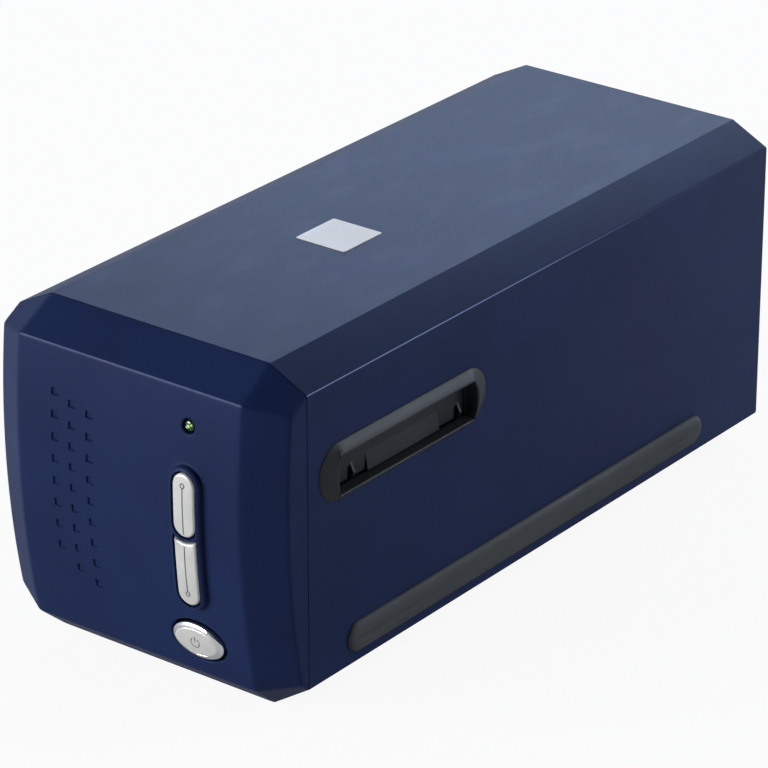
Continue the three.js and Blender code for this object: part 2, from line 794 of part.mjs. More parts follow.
// A loft over outlines in (x, z) that follows the bowed face. Each station has its own inset and
// its distance behind the face.
function bowedLoft(outline, stations) {
  const fine = finer(outline, bezel.finestBow);
  const middle = fine.reduce((sum, corner) => sum.add(corner), point(0, 0)).divideScalar(fine.length);
  const rings = stations.map(({ shrink = 0, share = 1, behind }) => {
    return inset(fine, shrink).map((corner) => {
      const place = middle.clone().lerp(corner, share);
      return new THREE.Vector3(place.x, faceY(place.y) + behind, place.y);
    });
  });
  return loft(rings, flattenY);
}

const scanLeft = scanX - scan.width / 2;
const scanRight = scanX + scan.width / 2;

function upperOutline() {
  return stadium(point(scanLeft, upperBottomZ), point(scanRight, upperTopZ), steps.corner + 2);
}

// The lower scan button has a round bottom and a hollow top edge under the upper one
function lowerOutline() {
  const half = scan.width / 2;
  const sagRadius = (half ** 2 + scan.lowerSag ** 2) / (2 * scan.lowerSag);
  const sagAngle = Math.asin(half / sagRadius);
  const top = point(scanX, lowerTopZ - scan.lowerSag + sagRadius);
  const down = Math.PI * 1.5;
  const count = steps.corner * 2;
  const hollow = arcPoints(top, sagRadius, sagRadius, down + sagAngle, down - sagAngle, count);
  const round = arcPoints(
    point(scanX, lowerBottomZ + half), half, half, Math.PI, 2 * Math.PI, (steps.corner + 2) * 2,
  );
  return [...round, ...hollow];
}

function powerOutline() {
  return oval(point(scanX, powerZ), power.width / 2, power.height / 2, steps.large);
}

function rimOutline() {
  const low = point(scanLeft - rim.margin, lowerBottomZ - rim.margin);
  const high = point(scanRight + rim.margin, upperTopZ + rim.margin);
  return stadium(low, high, steps.corner + 2);
}

function buttonRim() {
  const stations = [{ behind: bezel.wall / 2 }, { behind: rim.edgeRadius - rim.proud }];
  for (let step = 1; step <= steps.soft; step += 1) {
    const angle = (Math.PI / 2) * (step / steps.soft);
    const shrink = rim.edgeRadius * (1 - Math.cos(angle));
    stations.push({ shrink, behind: rim.edgeRadius - rim.proud - rim.edgeRadius * Math.sin(angle) });
  }
  return bowedLoft(rimOutline(), stations);
}

function frontBezel() {
  const cutFront = frontY - gap.overrun;
  const seamY = partingY - gap.seam / 2;
  const skin = bezelSkin(0, [seamY]);
  const hollow = bezelSkin(bezel.wall, [seamY, seamY + gap.overrun]);
  let shell = skin.subtract(hollow).add(buttonRim()).add(bezelLip(skin));
  for (const [x, z] of boardPins()) {
    shell = shell.add(cylinder('Y', point(x, z), board.postRadius, faceY(z) + bezel.wall / 2, boardFront));
    const tail = boardFront + board.thickness + board.pinTail;
    shell = shell.add(cylinder('Y', point(x, z), board.pinRadius, faceY(z) + bezel.wall / 2, tail));
  }
  const openings = [
    inset(upperOutline(), -gap.button),
    inset(lowerOutline(), -gap.button),
    inset(powerOutline(), -power.gap),
    circle(point(lampX, lampZ), lamp.hole, steps.round),
  ];
  for (const outline of openings) {
    shell = shell.subtract(prism('Y', outline, cutFront, boardFront - pushSwitch.depth));
  }
  for (const { acrossShare, topShare, pitchShare, count } of dimpleColumns) {
    for (let row = 0; row < count; row += 1) {
      const level = faceLevel(topShare - pitchShare * row);
      shell = shell.subtract(dimplePocket(-halfWidth * acrossShare, level));
    }
  }
  return shell;
}

// The lip starts inside the bezel and goes back into the cover and the tray
function bezelLip(skin) {
  const outer = body.wall + gap.seam;
  const inner = outer + lip.thickness;
  const root = bodyRing(body.wall / 2, inner, partingY - lip.rootDepth, partingY - gap.seam / 2);
  const tongue = bodyRing(outer, inner, partingY - lip.overlap, partingY + lip.reach);
  return root.intersect(skin).add(tongue);
}

function dimplePocket(x, z) {
  const { width, height, depth } = dimple;
  const floor = faceY(z) + depth;
  const [xs, zs] = [[x - width / 2, x + width / 2], [z - height / 2, z + height / 2]];
  return block(xs, [frontY - gap.overrun, floor], zs);
}

function boardPins() {
  const xs = [boardLeft + board.pinInset, boardRight - board.pinInset];
  const zs = [boardHigh - board.upperPinDrop, boardLow + board.lowerPinRise];
  return xs.flatMap((x) => zs.map((z) => [x, z]));
}

// A button: flange behind the wall, neck through the hole, soft edge and a stem into its switch.
// The flange leaves room for the flange of the other button.
function scanButton(outline, centreZ, flangeRoom) {
  const behindWall = bezel.wall + gap.seam;
  const flange = bowedLoft(outline, [
    { shrink: -scan.flange, behind: behindWall + scan.flangeThickness },
    { shrink: -scan.flange, behind: behindWall },
  ]);
  const stations = [{ behind: behindWall + scan.flangeThickness }, { behind: scan.edge - scan.proud }];
  for (let step = 1; step <= steps.soft; step += 1) {
    const angle = (Math.PI / 2) * (step / steps.soft);
    const shrink = scan.edge * (1 - Math.cos(angle));
    stations.push({ shrink, behind: scan.edge * (1 - Math.sin(angle)) - scan.proud });
  }
  const cap = bowedLoft(outline, stations);
  return cap.add(flange.intersect(flangeRoom)).add(buttonStem(scanX, centreZ));
}

function upperButton() {
  const middle = (upperTopZ + upperBottomZ) / 2;
  return scanButton(upperOutline(), middle, above(upperBottomZ + scan.flange));
}

function lowerButton() {
  const middle = (lowerTopZ + lowerBottomZ) / 2;
  return scanButton(lowerOutline(), middle, below(lowerTopZ - scan.lowerSag - scan.flange));
}

function buttonStem(x, z) {
  const tip = boardFront - pushSwitch.depth + pushSwitch.entryDepth;
  return cylinder('Y', point(x, z), pushSwitch.stem, faceY(z) + bezel.wall, tip);
}

function powerButton() {
  const behindWall = bezel.wall + gap.seam;
  const dome = power.rise * power.domeShare;
  const crown = power.rise - dome;
  const stations = [
    { shrink: -power.gap - power.flange, behind: behindWall + power.flangeThickness },
    { shrink: -power.gap - power.flange, behind: behindWall },
    { behind: behindWall },
    { behind: 0 },
    ...powerDomeShares.map((share, index) => ({
      share,
      behind: -crown - (dome * index) / (powerDomeShares.length - 1),
    })),
  ];
  return bowedLoft(powerOutline(), stations).add(buttonStem(scanX, powerZ));
}

function pushSwitchAt(x, z) {
  const half = pushSwitch.side / 2;
  const front = boardFront - pushSwitch.depth;
  const box = block([x - half, x + half], [front, boardFront], [z - half, z + half]);
  const bottom = front + pushSwitch.boreDepth;
  return box.subtract(cylinder('Y', point(x, z), pushSwitch.bore, front - gap.overrun, bottom));
}

function buttonBoard() {
  const back = boardFront + board.thickness;
  let plate = block([boardLeft, boardRight], [boardFront, back], [boardLow, boardHigh]);
  for (const [x, z] of boardPins()) {
    plate = plate.subtract(cylinder('Y', point(x, z), board.pinRadius + gap.seam, frontY, 0));
  }
  return plate;
}

// Lamp lens: a domed light pipe with a collar behind the bezel wall
function lampLens() {
  const inner = faceY(lampZ) + bezel.wall + gap.seam;
  const tip = faceY(lampZ) + lamp.sunk;
  const dome = arcPoints(point(0, tip + lamp.dome), lamp.lens, lamp.dome, -Math.PI / 2, 0, steps.soft);
  const profile = [
    ...dome.map((place, index) => [index === 0 ? 0 : place.x, place.y]),
    [lamp.lens, inner],
    [lamp.collar, inner],
    [lamp.collar, inner + lamp.collarThickness],
    [lamp.lens, inner + lamp.collarThickness],
    [lamp.lens, boardFront - gap.seam],
    [0, boardFront - gap.seam],
  ];
  return turnedAlongY(profile, lampX, lampZ);
}

// Slot bezel on the right side. The left one is its mirror image.
function slotOutline() {
  const low = point(filmY - slot.length / 2, slotZ - slot.height / 2);
  const high = point(filmY + slot.length / 2, slotZ + slot.height / 2);
  return stadium(low, high, steps.corner * 2);
}

// The mouth has straight long edges and ends that bulge a little
function mouthOutline() {
  const half = slot.mouthHeight / 2;
  const radius = (half ** 2 + slot.mouthBulge ** 2) / (2 * slot.mouthBulge);
  const angle = Math.asin(half / radius);
  const backCentre = point(mouthBackY + slot.mouthBulge - radius, mouthMiddleZ);
  const frontCentre = point(mouthFrontY - slot.mouthBulge + radius, mouthMiddleZ);
  const back = arcPoints(backCentre, radius, radius, -angle, angle, steps.corner);
  const front = arcPoints(frontCentre, radius, radius, Math.PI - angle, Math.PI + angle, steps.corner);
  return [...back, ...front];
}

function slotBezel() {
  const rings = [{ out: 0, shrink: 0 }, { out: slot.edge, shrink: 0 }];
  for (let step = 1; step <= steps.soft; step += 1) {
    const angle = (Math.PI / 2) * (step / steps.soft);
    const rise = (slot.proud - slot.edge) * Math.sin(angle);
    rings.push({ out: slot.edge + rise, shrink: slot.crown * (1 - Math.cos(angle)) });
  }
  const flange = loft(rings.map(({ out, shrink }) => inset(slotOutline(), shrink)
    .map((corner) => new THREE.Vector3(halfWidth + out, corner.x, corner.y))), flattenX);
  const sleeve = prism('X', sleeveOutline(0), sleeveInnerX, halfWidth + slot.edge);
  const lintelBack = halfWidth - slot.lintel;
  const mouth = prism('X', mouthOutline(), lintelBack, halfWidth + slot.proud + gap.overrun);
  const chamberLow = point(mouthFrontY, mouthLowZ);
  const chamberHigh = point(mouthBackY, chamberRoofZ);
  const chamber = prism('X', rectangle(chamberLow, chamberHigh), sleeveInnerX - gap.overrun, lintelBack);
  const holeRadius = door.pin + gap.seam;
  const [holeFrom, holeTo] = [mouthFrontY - gap.overrun, mouthBackY + gap.overrun];
  const pinHole = cylinder('Y', pivotPlace(), holeRadius, holeFrom, holeTo);
  return flange.add(sleeve).subtract(mouth).subtract(chamber).subtract(pinHole);
}

function pivotPlace() {
  return point(pivotX, pivotZ);
}

// Dust door on the right side: a plate under a barrel, with a bellied middle and two thin fins
function dustDoor() {
  const face = doorFaceX;
  const front = mouthFrontY + door.endGap;
  const back = mouthBackY - door.endGap;
  const low = doorLowZ;
  const plate = block([face - door.thickness, face], [front, back], [low, pivotZ]);
  const barrel = cylinder('Y', pivotPlace(), door.barrel, front, back - door.springSpace, steps.round);
  const bore = cylinder('Y', pivotPlace(), door.bore, front - gap.overrun, back + gap.overrun, steps.small);
  const inside = face - door.thickness / 2;
  const belly = prism('Y', [
    point(inside, low - door.bellyDrop),
    point(face + door.belly, low - door.bellyDrop),
    point(face, low + door.bellyRise),
    point(inside, low + door.bellyRise),
  ], mouthFrontY + door.bellyFrontInset, mouthBackY - door.bellyBackInset);
  const springRoom = block(
    [pivotX - door.barrel - gap.overrun, face + gap.overrun],
    [back - door.springSpace, back + gap.overrun],
    [pivotZ - doorSpring.room, chamberRoofZ],
  );
  let leaf = plate.subtract(springRoom).add(barrel).add(belly).subtract(bore);
  for (const finY of [mouthFrontY + door.finFrontInset, mouthBackY - door.finBackInset]) {
    const fin = prism('Y', [
      point(inside, low),
      point(face + door.finReach / 2, low),
      point(face + door.finReach, low + door.finPeak),
      point(face + door.finReach / 2, low + (door.finRise + door.finPeak) / 2),
      point(face, low + door.finRise),
      point(inside, low + door.finRise),
    ], finY, finY + door.finWidth);
    const slit = block(
      [face - door.thickness - gap.overrun, face + gap.overrun],
      [finY - door.slit, finY],
      [low - gap.overrun, low + door.slitRise],
    );
    leaf = leaf.add(fin).subtract(slit);
  }
  return leaf;
}

function doorPin() {
  const reach = slot.sleeveWall - gap.seam;
  return cylinder('Y', pivotPlace(), door.pin, mouthFrontY - reach, mouthBackY + reach);
}

// Coil of the door's return spring round the pin
function doorCoil() {
  const { wire, coil, turns, stepsPerTurn, sides, pitch } = doorSpring;
  const startY = mouthBackY - door.endGap - wire - gap.seam;
  const curve = new THREE.CatmullRomCurve3(Array.from({ length: turns * stepsPerTurn + 1 }, (_, index) => {
    const angle = (2 * Math.PI * index) / stepsPerTurn;
    const along = startY - (pitch * index) / stepsPerTurn;
    return new THREE.Vector3(pivotX + coil * Math.cos(angle), along, pivotZ + coil * Math.sin(angle));
  }));
  const geometry = new THREE.ExtrudeGeometry(new THREE.Shape(circle(point(0, 0), wire, sides)), {
    extrudePath: curve,
    steps: turns * stepsPerTurn,
    bevelEnabled: false,
  });
  return solidFromGeometry(geometry);
}

// Rubber pad on the right side
function sidePad() {
  const rings = [{ out: -pad.sunk, shrink: 0 }, { out: pad.proud - pad.edgeRadius, shrink: 0 }];
  for (let step = 1; step <= steps.soft; step += 1) {
    const angle = (Math.PI / 2) * (step / steps.soft);
    const out = pad.proud - pad.edgeRadius * (1 - Math.sin(angle));
    rings.push({ out, shrink: pad.edgeRadius * (1 - Math.cos(angle)) });
  }
  return loft(rings.map(({ out, shrink }) => inset(padOutline(0), shrink)
    .map((corner) => new THREE.Vector3(halfWidth + out, corner.x, corner.y))), flattenX);
}

function rubberFoot(x, y) {
  const outline = circle(point(x, y), foot.radius, steps.round);
  const rings = [
    { z: 0, shrink: foot.edge },
    { z: foot.edge, shrink: 0 },
    { z: baseZ + foot.sunk, shrink: 0 },
  ];
  return loft(rings.map(({ z, shrink }) => inset(outline, shrink)
    .map((corner) => new THREE.Vector3(corner.x, corner.y, z))), (corner) => point(corner.x, corner.y));
}

function topLabel() {
  const low = point(label.x - label.side / 2, labelY - label.side / 2);
  const high = point(label.x + label.side / 2, labelY + label.side / 2);
  return prism('Z', roundedRectangle(low, high, label.corner, 2), roofZ, roofZ + label.thickness);
}

// Rear panel, set a little way into the end of the body
function rearPanel() {
  const outline = inset(bodyOutline(), body.wall + gap.seam);
  let panel = prism('Y', outline, panelFrontY, panelBackY);
  const low = mainBoardTopZ - socketRoom;
  for (const [x, socket] of [[usbX, usb], [inletX, inlet]]) {
    const reach = socket.width / 2 + socketRoom;
    const high = mainBoardTopZ + socket.height + socketRoom;
    panel = panel.subtract(block([x - reach, x + reach], [0, rearY + gap.overrun], [low, high]));
  }
  for (const [x, z] of rearScrewPlaces()) {
    panel = panel.subtract(cylinder('Y', point(x, z), screw.radius + gap.seam, 0, rearY));
  }
  return panel;
}

function rearScrewPlaces() {
  return [rearScrewLowZ, rearScrewHighZ].flatMap((z) => [-rearScrewX, rearScrewX].map((x) => [x, z]));
}

// A pan-head screw along Y, with its head to the back
function rearScrew(x, z) {
  const seat = panelBackY;
  const head = arcPoints(point(0, seat), screw.head, screw.headHeight, 0, Math.PI / 2, steps.soft);
  const profile = [
    [0, seat - screw.length],
    [screw.radius, seat - screw.length],
    [screw.radius, seat],
    ...head.map((place, index) => [index === steps.soft ? 0 : place.x, place.y]),
  ];
  const cut = block(
    [x - screw.slot / 2, x + screw.slot / 2],
    [seat + screw.slotRise, rearY + gap.overrun],
    [z - screw.head, z + screw.head],
  );
  return turnedAlongY(profile, x, z, steps.small).subtract(cut);
}

// A base screw stands along Z, with its head down in the tray's boss
function baseScrewAt(x, y) {
  const seat = baseZ + baseScrew.headSunk;
  const head = cylinder('Z', point(x, y), screw.head, seat - screw.headHeight, seat, steps.small);
  return head.add(cylinder('Z', point(x, y), screw.radius, seat, lugLowZ + lug.height - baseScrew.tip));
}

function mainBoardPlate() {
  const [right, neckRight] = [mainBoardRight, mainBoardNeckRight];
  const back = panelFrontY - gap.seam;
  const outline = [
    point(mainBoardLeft, mainBoardFrontY),
    point(right, mainBoardFrontY),
    point(right, mainBoardNeckY),
    point(neckRight, mainBoardNeckY),
    point(neckRight, back),
    point(mainBoardLeft, back),
  ];
  return prism('Z', outline, mainBoardZ, mainBoardTopZ);
}

function usbSocket() {
  const [x, low] = [usbX, mainBoardTopZ];
  const back = panelBackY - socketRoom;
  const { width, height, depth, cavityWidth, cavityHeight, cavityDepth } = usb;
  const middle = low + height / 2;
  const shell = block([x - width / 2, x + width / 2], [back - depth, back], [low, low + height]);
  const cavity = block(
    [x - cavityWidth / 2, x + cavityWidth / 2],
    [back - cavityDepth, back + gap.overrun],
    [middle - cavityHeight / 2, middle + cavityHeight / 2],
  );
  const tongue = block(
    [x - usbTongue.width / 2, x + usbTongue.width / 2],
    [back - cavityDepth - socketRoom, back - cavityDepth + usbTongue.length],
    [middle - usbTongue.height / 2, middle + usbTongue.height / 2],
  );
  return shell.subtract(cavity).add(tongue);
}

function powerInlet() {
  const [x, low] = [inletX, mainBoardTopZ];
  const back = panelBackY - socketRoom;
  const { width, height, depth, bore, boreDepth, pin, pinLength } = inlet;
  const middle = point(x, low + height / 2);
  const shell = block([x - width / 2, x + width / 2], [back - depth, back], [low, low + height]);
  const hole = cylinder('Y', middle, bore, back - boreDepth, back + gap.overrun, steps.round);
  const bottom = back - boreDepth;
  return shell.subtract(hole).add(cylinder('Y', middle, pin, bottom - socketRoom, bottom + pinLength));
}

function processorChip() {
  const { fromLeft, fromFront, width, depth, height } = chip;
  const x = mainBoardLeft + fromLeft;
  const y = mainBoardFrontY + fromFront;
  const top = mainBoardTopZ + height;
  return block([x - width / 2, x + width / 2], [y - depth / 2, y + depth / 2], [mainBoardTopZ, top]);
}

// Flat cable from the button board, down behind the bezel and along the floor to the main board
function boardCable() {
  const { fromLeft, width, thickness, aboveFloor, riser } = flatCable;
  const left = boardLeft + fromLeft;
  const low = floorZ + aboveFloor;
  const top = boardLow - gap.seam;
  const start = boardFront + board.thickness / 2 - thickness / 2;
  const end = mainBoardFrontY - gap.seam;
  const outline = [
    point(start, top),
    point(start, low),
    point(end, low),
    point(end, low + thickness + riser),
    point(end - thickness, low + thickness + riser),
    point(end - thickness, low + thickness),
    point(start + thickness, low + thickness),
    point(start + thickness, top),
  ];
  return prism('X', outline, left, left + width);
}

// Film guide: a floor with two rails, a window under the lamp, and four legs
function lowerGuide() {
  const { rail, windowX, windowY, legWidth, legDepth } = guide;
  const [end, front, back] = [guideEndX, guideFrontY, guideBackY];
  const [low, floor, railTop] = [guideLowZ, guideFloorZ, railTopZ];
  const section = [
    point(front, low),
    point(back, low),
    point(back, railTop),
    point(back - rail, railTop),
    point(back - rail, floor),
    point(front + rail, floor),
    point(front + rail, railTop),
    point(front, railTop),
  ];
  let part = prism('X', section, -end, end);
  part = part.subtract(block(
    [-windowX, windowX], [filmY - windowY, filmY + windowY], [low - gap.overrun, floor + gap.overrun],
  ));
  for (const side of [-1, 1]) {
    for (const y of [front, back - legDepth]) {
      const xs = between(side * (end - gap.seam), side * (end - gap.seam - legWidth));
      part = part.add(block(xs, [y, y + legDepth], [floorZ, (low + floor) / 2]));
    }
  }
  const bossBack = front + rail / 2;
  const bossFront = detentBack() - detent.bossWall;
  const centre = point(detent.x, detentZ);
  part = part.add(cylinder('Y', centre, detent.boss, bossFront, bossBack, steps.round));
  return part.subtract(cylinder('Y', centre, detent.radius + gap.play, detentBack(), filmY));
}

function detentTip() {
  return guideFrontY + guide.rail + detent.tip;
}

function detentBack() {
  return detentTip() - detent.length - detent.travel - gap.travelEnd;
}

function detentPlunger() {
  const tip = detentTip();
  const { radius } = detent;
  const dome = arcPoints(point(0, tip - radius), radius, radius, 0, Math.PI / 2, steps.soft);
  const profile = [
    [0, tip - detent.length],
    [detent.radius, tip - detent.length],
    ...dome.map((place, index) => [index === steps.soft ? 0 : place.x, place.y]),
  ];
  return turnedAlongY(profile, detent.x, detentZ, steps.small);
}

function upperGuide() {
  const { capInset, rail, windowX, windowY, runner, runnerDrop, runnerInset } = guide;
  const [front, back, low, top] = [guideFrontY, guideBackY, railTopZ, capTopZ];
  const capEnd = guideEndX - capInset;
  const runnerLow = low - runnerDrop;
  const frontRunner = front + rail + runnerInset;
  const backRunner = back - rail - runnerInset;
  const section = [
    point(front, low), point(frontRunner, low), point(frontRunner, runnerLow),
    point(frontRunner + runner, runnerLow), point(frontRunner + runner, low),
    point(backRunner - runner, low), point(backRunner - runner, runnerLow),
    point(backRunner, runnerLow), point(backRunner, low), point(back, low),
    point(back, top), point(front, top),
  ];
  return prism('X', section, -capEnd, capEnd).subtract(block(
    [-windowX, windowX], [filmY - windowY, filmY + windowY], [runnerLow - gap.overrun, low + gap.overrun],
  ));
}

function guideRod(x) {
  const from = frontBracketY + rod.short;
  const to = rearBracketY + bracket.thickness - rod.short;
  return cylinder('Y', point(x, rodZ), rod.radius, from, to, steps.round);
}

// A rod bracket is a bridge with a foot under each rod
function rodBracket(front) {
  const { margin, thickness, archMargin } = bracket;
  const top = rodZ + margin;
  const left = rodLeftX - margin;
  const right = rodRightX + margin;
  let bridge = block([left, right], [front, front + thickness], [floorZ, top]);
  bridge = bridge.subtract(block(
    [rodLeftX + archMargin, rodRightX - archMargin],
    [front - gap.overrun, front + thickness + gap.overrun],
    [0, archTopZ],
  ));
  for (const x of [rodLeftX, rodRightX]) {
    const [from, to] = [front - gap.overrun, front + thickness + gap.overrun];
    bridge = bridge.subtract(cylinder('Y', point(x, rodZ), rod.radius + gap.seam, from, to, steps.round));
  }
  return bridge;
}

function screwPlace() {
  return point(leadScrewX, rodZ);
}

function leadScrewShaft() {
  const { radius, collar, collarLength } = leadScrew;
  const collarFrom = screwBearingY() + screwBearing.depth + gap.seam;
  const shaft = cylinder('Y', screwPlace(), radius, leadScrewFrontY, leadScrewBackY, steps.round);
  return shaft.add(cylinder('Y', screwPlace(), collar, collarFrom, collarFrom + collarLength, steps.round));
}

function screwBearingY() {
  return leadScrewFrontY + leadScrew.stickOut;
}

function screwBearingBlock() {
  const { width, depth, margin } = screwBearing;
  const half = width / 2;
  const front = screwBearingY();
  const xs = [leadScrewX - half, leadScrewX + half];
  const stand = block(xs, [front, front + depth], [floorZ, rodZ + margin]);
  const bore = leadScrew.radius + gap.play;
  const bored = stand.subtract(cylinder('Y', screwPlace(), bore, front - gap.overrun, rearY, steps.round));
  return bored.intersect(bodyRoom());
}

function stepperMotor() {
  const half = motor.side / 2;
  const low = point(leadScrewX - half, rodZ - half);
  const high = point(leadScrewX + half, rodZ + half);
  const can = prism('Y', roundedRectangle(low, high, motor.corner), motorFrontY, motorFrontY + motor.length);
  const bottom = motorFrontY + motor.boreDepth;
  return can.subtract(cylinder('Y', screwPlace(), motor.boreRadius, 0, bottom, steps.round));
}

// The motor hangs on a bent plate whose foot stands on the tray
function motorBracketPlate() {
  const { thickness, foot: footDepth, trim } = motorBracket;
  const back = motorFrontY - gap.seam;
  const front = back - thickness;
  const top = rodZ + motor.side / 2;
  const outline = [
    point(front, floorZ), point(back + footDepth, floorZ), point(back + footDepth, floorZ + thickness),
    point(back, floorZ + thickness), point(back, top), point(front, top),
  ];
  const plate = prism('X', outline, leadScrewX - motor.side / 2 + trim, leadScrewX + motor.side / 2);
  const bored = plate.subtract(cylinder('Y', screwPlace(), motor.boreRadius, 0, rearY, steps.round));
  return bored.intersect(bodyRoom());
}

// Drive nut: a block round the lead screw with an arm to the carriage
function driveNut() {
  const { width, length, armHeight } = nut;
  const top = carriageTopZ;
  const ys = [nutY - length / 2, nutY + length / 2];
  const core = block([leadScrewX - width / 2, leadScrewX + width / 2], ys, [rodZ - width / 2, top]);
  const toCarriage = block([leadScrewX, carriageLeft - gap.seam], ys, [top - armHeight, top]);
  const bore = leadScrew.radius + gap.play;
  const hole = cylinder('Y', screwPlace(), bore, -body.depth, body.depth, steps.round);
  return core.add(toCarriage).subtract(hole);
}

// Carriage frame: a plate with skirts, bearings round the rods, mirror cheeks, a lens saddle and
// the wall that the sensor board stands against
function carriageFrame() {
  const { skirt, skirtDrop, windowMargin, windowInset } = carriage;
  const [left, right, front, back] = [carriageLeft, carriageRight, carriageFrontY, carriageBackY];
  const [low, top] = [carriageLowZ, carriageTopZ];
  const drop = low - skirtDrop;
  const section = [
    point(left, drop), point(left + skirt, drop), point(left + skirt, low), point(right - skirt, low),
    point(right - skirt, drop), point(right, drop), point(right, top), point(left, top),
  ];
  let frame = prism('Y', section, front, back);
  frame = frame.subtract(block(
    [left + windowInset, right - windowInset],
    [mirrorFootY + windowMargin, lensFrontY - windowMargin],
    [drop - gap.overrun, top + gap.overrun],
  ));
  const bearings = [
    [rodRightX, front + bearing.fromEnd],
    [rodRightX, back - bearing.fromEnd],
    [rodLeftX, back - bearing.middleFromEnd],
  ];
  for (const [x, y] of bearings) {
    const xs = [x - bearing.width / 2, x + bearing.width / 2];
    const ys = [y - bearing.length / 2, y + bearing.length / 2];
    frame = frame.add(block(xs, ys, [low - bearing.drop, carriageMiddleZ]));
  }
  for (const x of [rodRightX, rodLeftX]) {
    const [from, to] = [front - gap.overrun, back + gap.overrun];
    frame = frame.subtract(cylinder('Y', point(x, rodZ), rod.radius + gap.play, from, to, steps.round));
  }
  for (const side of [-1, 1]) {
    const cheekOutline = [
      point(mirrorFootY - mirrorRise, carriageMiddleZ),
      point(mirrorFootY, carriageMiddleZ),
      point(mirrorFootY, top),
      point(mirrorFootY - mirrorRise, top + mirrorRise),
    ];
    const [from, to] = between(side * mirror.cheekX, side * (mirror.cheekX + mirror.cheek));
    frame = frame.add(prism('X', cheekOutline, from, to));
  }
  const boardHalf = sensor.boardWidth / 2;
  const wall = block([-boardHalf, boardHalf], [back - sensor.wall, back], [carriageMiddleZ, sensorTopZ]);
  return frame.add(lensSaddle()).add(wall);
}

function lensSaddle() {
  const { saddleWall } = optics;
  const from = lensFrontY + saddleWall;
  const to = lensBackY - saddleWall;
  const half = lensRadius + saddleWall;
  const stand = block([-half, half], [from, to], [carriageMiddleZ, axisZLevel]);
  const bed = lensRadius + gap.seam;
  const [bedFrom, bedTo] = [from - gap.overrun, to + gap.overrun];
  return stand.subtract(cylinder('Y', point(0, axisZLevel), bed, bedFrom, bedTo, steps.large));
}

// Folding mirror at 45 degrees under the film window
function foldingMirror() {
  const slope = Math.SQRT1_2;
  const lift = point(1, 1).multiplyScalar(gap.seam * slope);
  const thick = point(1, 1).multiplyScalar(mirror.thickness * slope);
  const run = mirror.endInset;
  const lowEnd = point(mirrorFootY - run, carriageTopZ + run).add(lift);
  const highEnd = point(mirrorFootY - mirrorRise + run, carriageTopZ + mirrorRise - run).add(lift);
  const outline = [lowEnd, lowEnd.clone().add(thick), highEnd.clone().add(thick), highEnd];
  return prism('X', outline, -mirror.width / 2, mirror.width / 2);
}

function lensBarrel() {
  const { rimWidth, glassSunk } = optics;
  const rimRadius = lensRadius - rimWidth;
  const profile = [
    [0, lensFrontY + glassSunk],
    [rimRadius, lensFrontY + glassSunk],
    [rimRadius, lensFrontY],
    [lensRadius, lensFrontY],
    [lensRadius, lensBackY],
    [rimRadius, lensBackY],
    [rimRadius, lensBackY - glassSunk],
    [0, lensBackY - glassSunk],
  ];
  return turnedAlongY(profile, 0, axisZLevel, steps.large);
}

function sensorBoardPlate() {
  const back = carriageBackY - sensor.wall - gap.seam;
  const half = sensor.boardWidth / 2;
  return block([-half, half], [back - sensor.boardThickness, back], [carriageTopZ + gap.seam, sensorTopZ]);
}

function lineSensor() {
  const back = carriageBackY - sensor.wall - gap.seam - sensor.boardThickness;
  const half = sensor.width / 2;
  const zs = [axisZLevel - sensor.height / 2, axisZLevel + sensor.height / 2];
  return block([-half, half], [back - sensor.depth, back], zs);
}

// Lamp arm: two posts behind the film channel and a plate that reaches forward over it
function lampArm() {
  const { halfWidth: half, postWidth, thickness, plate, footDepth, footHeight } = arm;
  const [back, base, top] = [armBackY, carriageTopZ, armTopZ];
  const plateFront = filmY - guide.windowY;
  const outline = [
    point(back - thickness, base),
    point(back + footDepth, base),
    point(back + footDepth, base + footHeight),
    point(back, base + footHeight),
    point(back, top),
    point(plateFront, top),
    point(plateFront, top - plate),
    point(back - thickness, top - plate),
  ];
  const bent = prism('X', outline, -half, half);
  return bent.subtract(block(
    [postWidth - half, half - postWidth],
    [back - thickness - gap.overrun, back + footDepth + gap.overrun],
    [base - gap.overrun, top - plate - thickness],
  ));
}

function lampBarBody() {
  const top = armTopZ - arm.plate;
  const { halfWidth: half, depth, height, lens, lensInset } = lampBar;
  const centre = filmY;
  const outline = [
    point(centre - depth / 2, top - height),
    point(centre - depth / 2 + lensInset, top - height - lens),
    point(centre + depth / 2 - lensInset, top - height - lens),
    point(centre + depth / 2, top - height),
    point(centre + depth / 2, top),
    point(centre - depth / 2, top),
  ];
  return prism('X', outline, -half, half);
}

// Housing
addPiece('top_cover', topCover(), navyPlastic);
addPiece('base_tray', baseTray(), navyPlastic);
addPiece('front_bezel', frontBezel(), navyPlastic);
addPiece('rear_panel', rearPanel(), navyPlastic);
addPiece('top_label', topLabel(), whiteFilm);
addPiece('slot_bezel_right', slotBezel(), blackPlastic);
addPiece('slot_bezel_left', mirrored(slotBezel()), blackPlastic);
addPiece('side_pad_right', sidePad(), rubber);
addPiece('side_pad_left', mirrored(sidePad()), rubber);
const [footFront, footRear] = footPlaces();
addPiece('foot_front_right', rubberFoot(footX(), footFront), rubber);
addPiece('foot_front_left', rubberFoot(-footX(), footFront), rubber);
addPiece('foot_rear_right', rubberFoot(footX(), footRear), rubber);
addPiece('foot_rear_left', rubberFoot(-footX(), footRear), rubber);
addPiece('base_screw_front_right', baseScrewAt(lugX, lugFrontY), steel);
addPiece('base_screw_front_left', baseScrewAt(-lugX, lugFrontY), steel);
addPiece('base_screw_rear_right', baseScrewAt(lugX, lugBackY), steel);
addPiece('base_screw_rear_left', baseScrewAt(-lugX, lugBackY), steel);
rearScrewPlaces().forEach(([x, z], index) => addPiece(`rear_screw_${index + 1}`, rearScrew(x, z), steel));

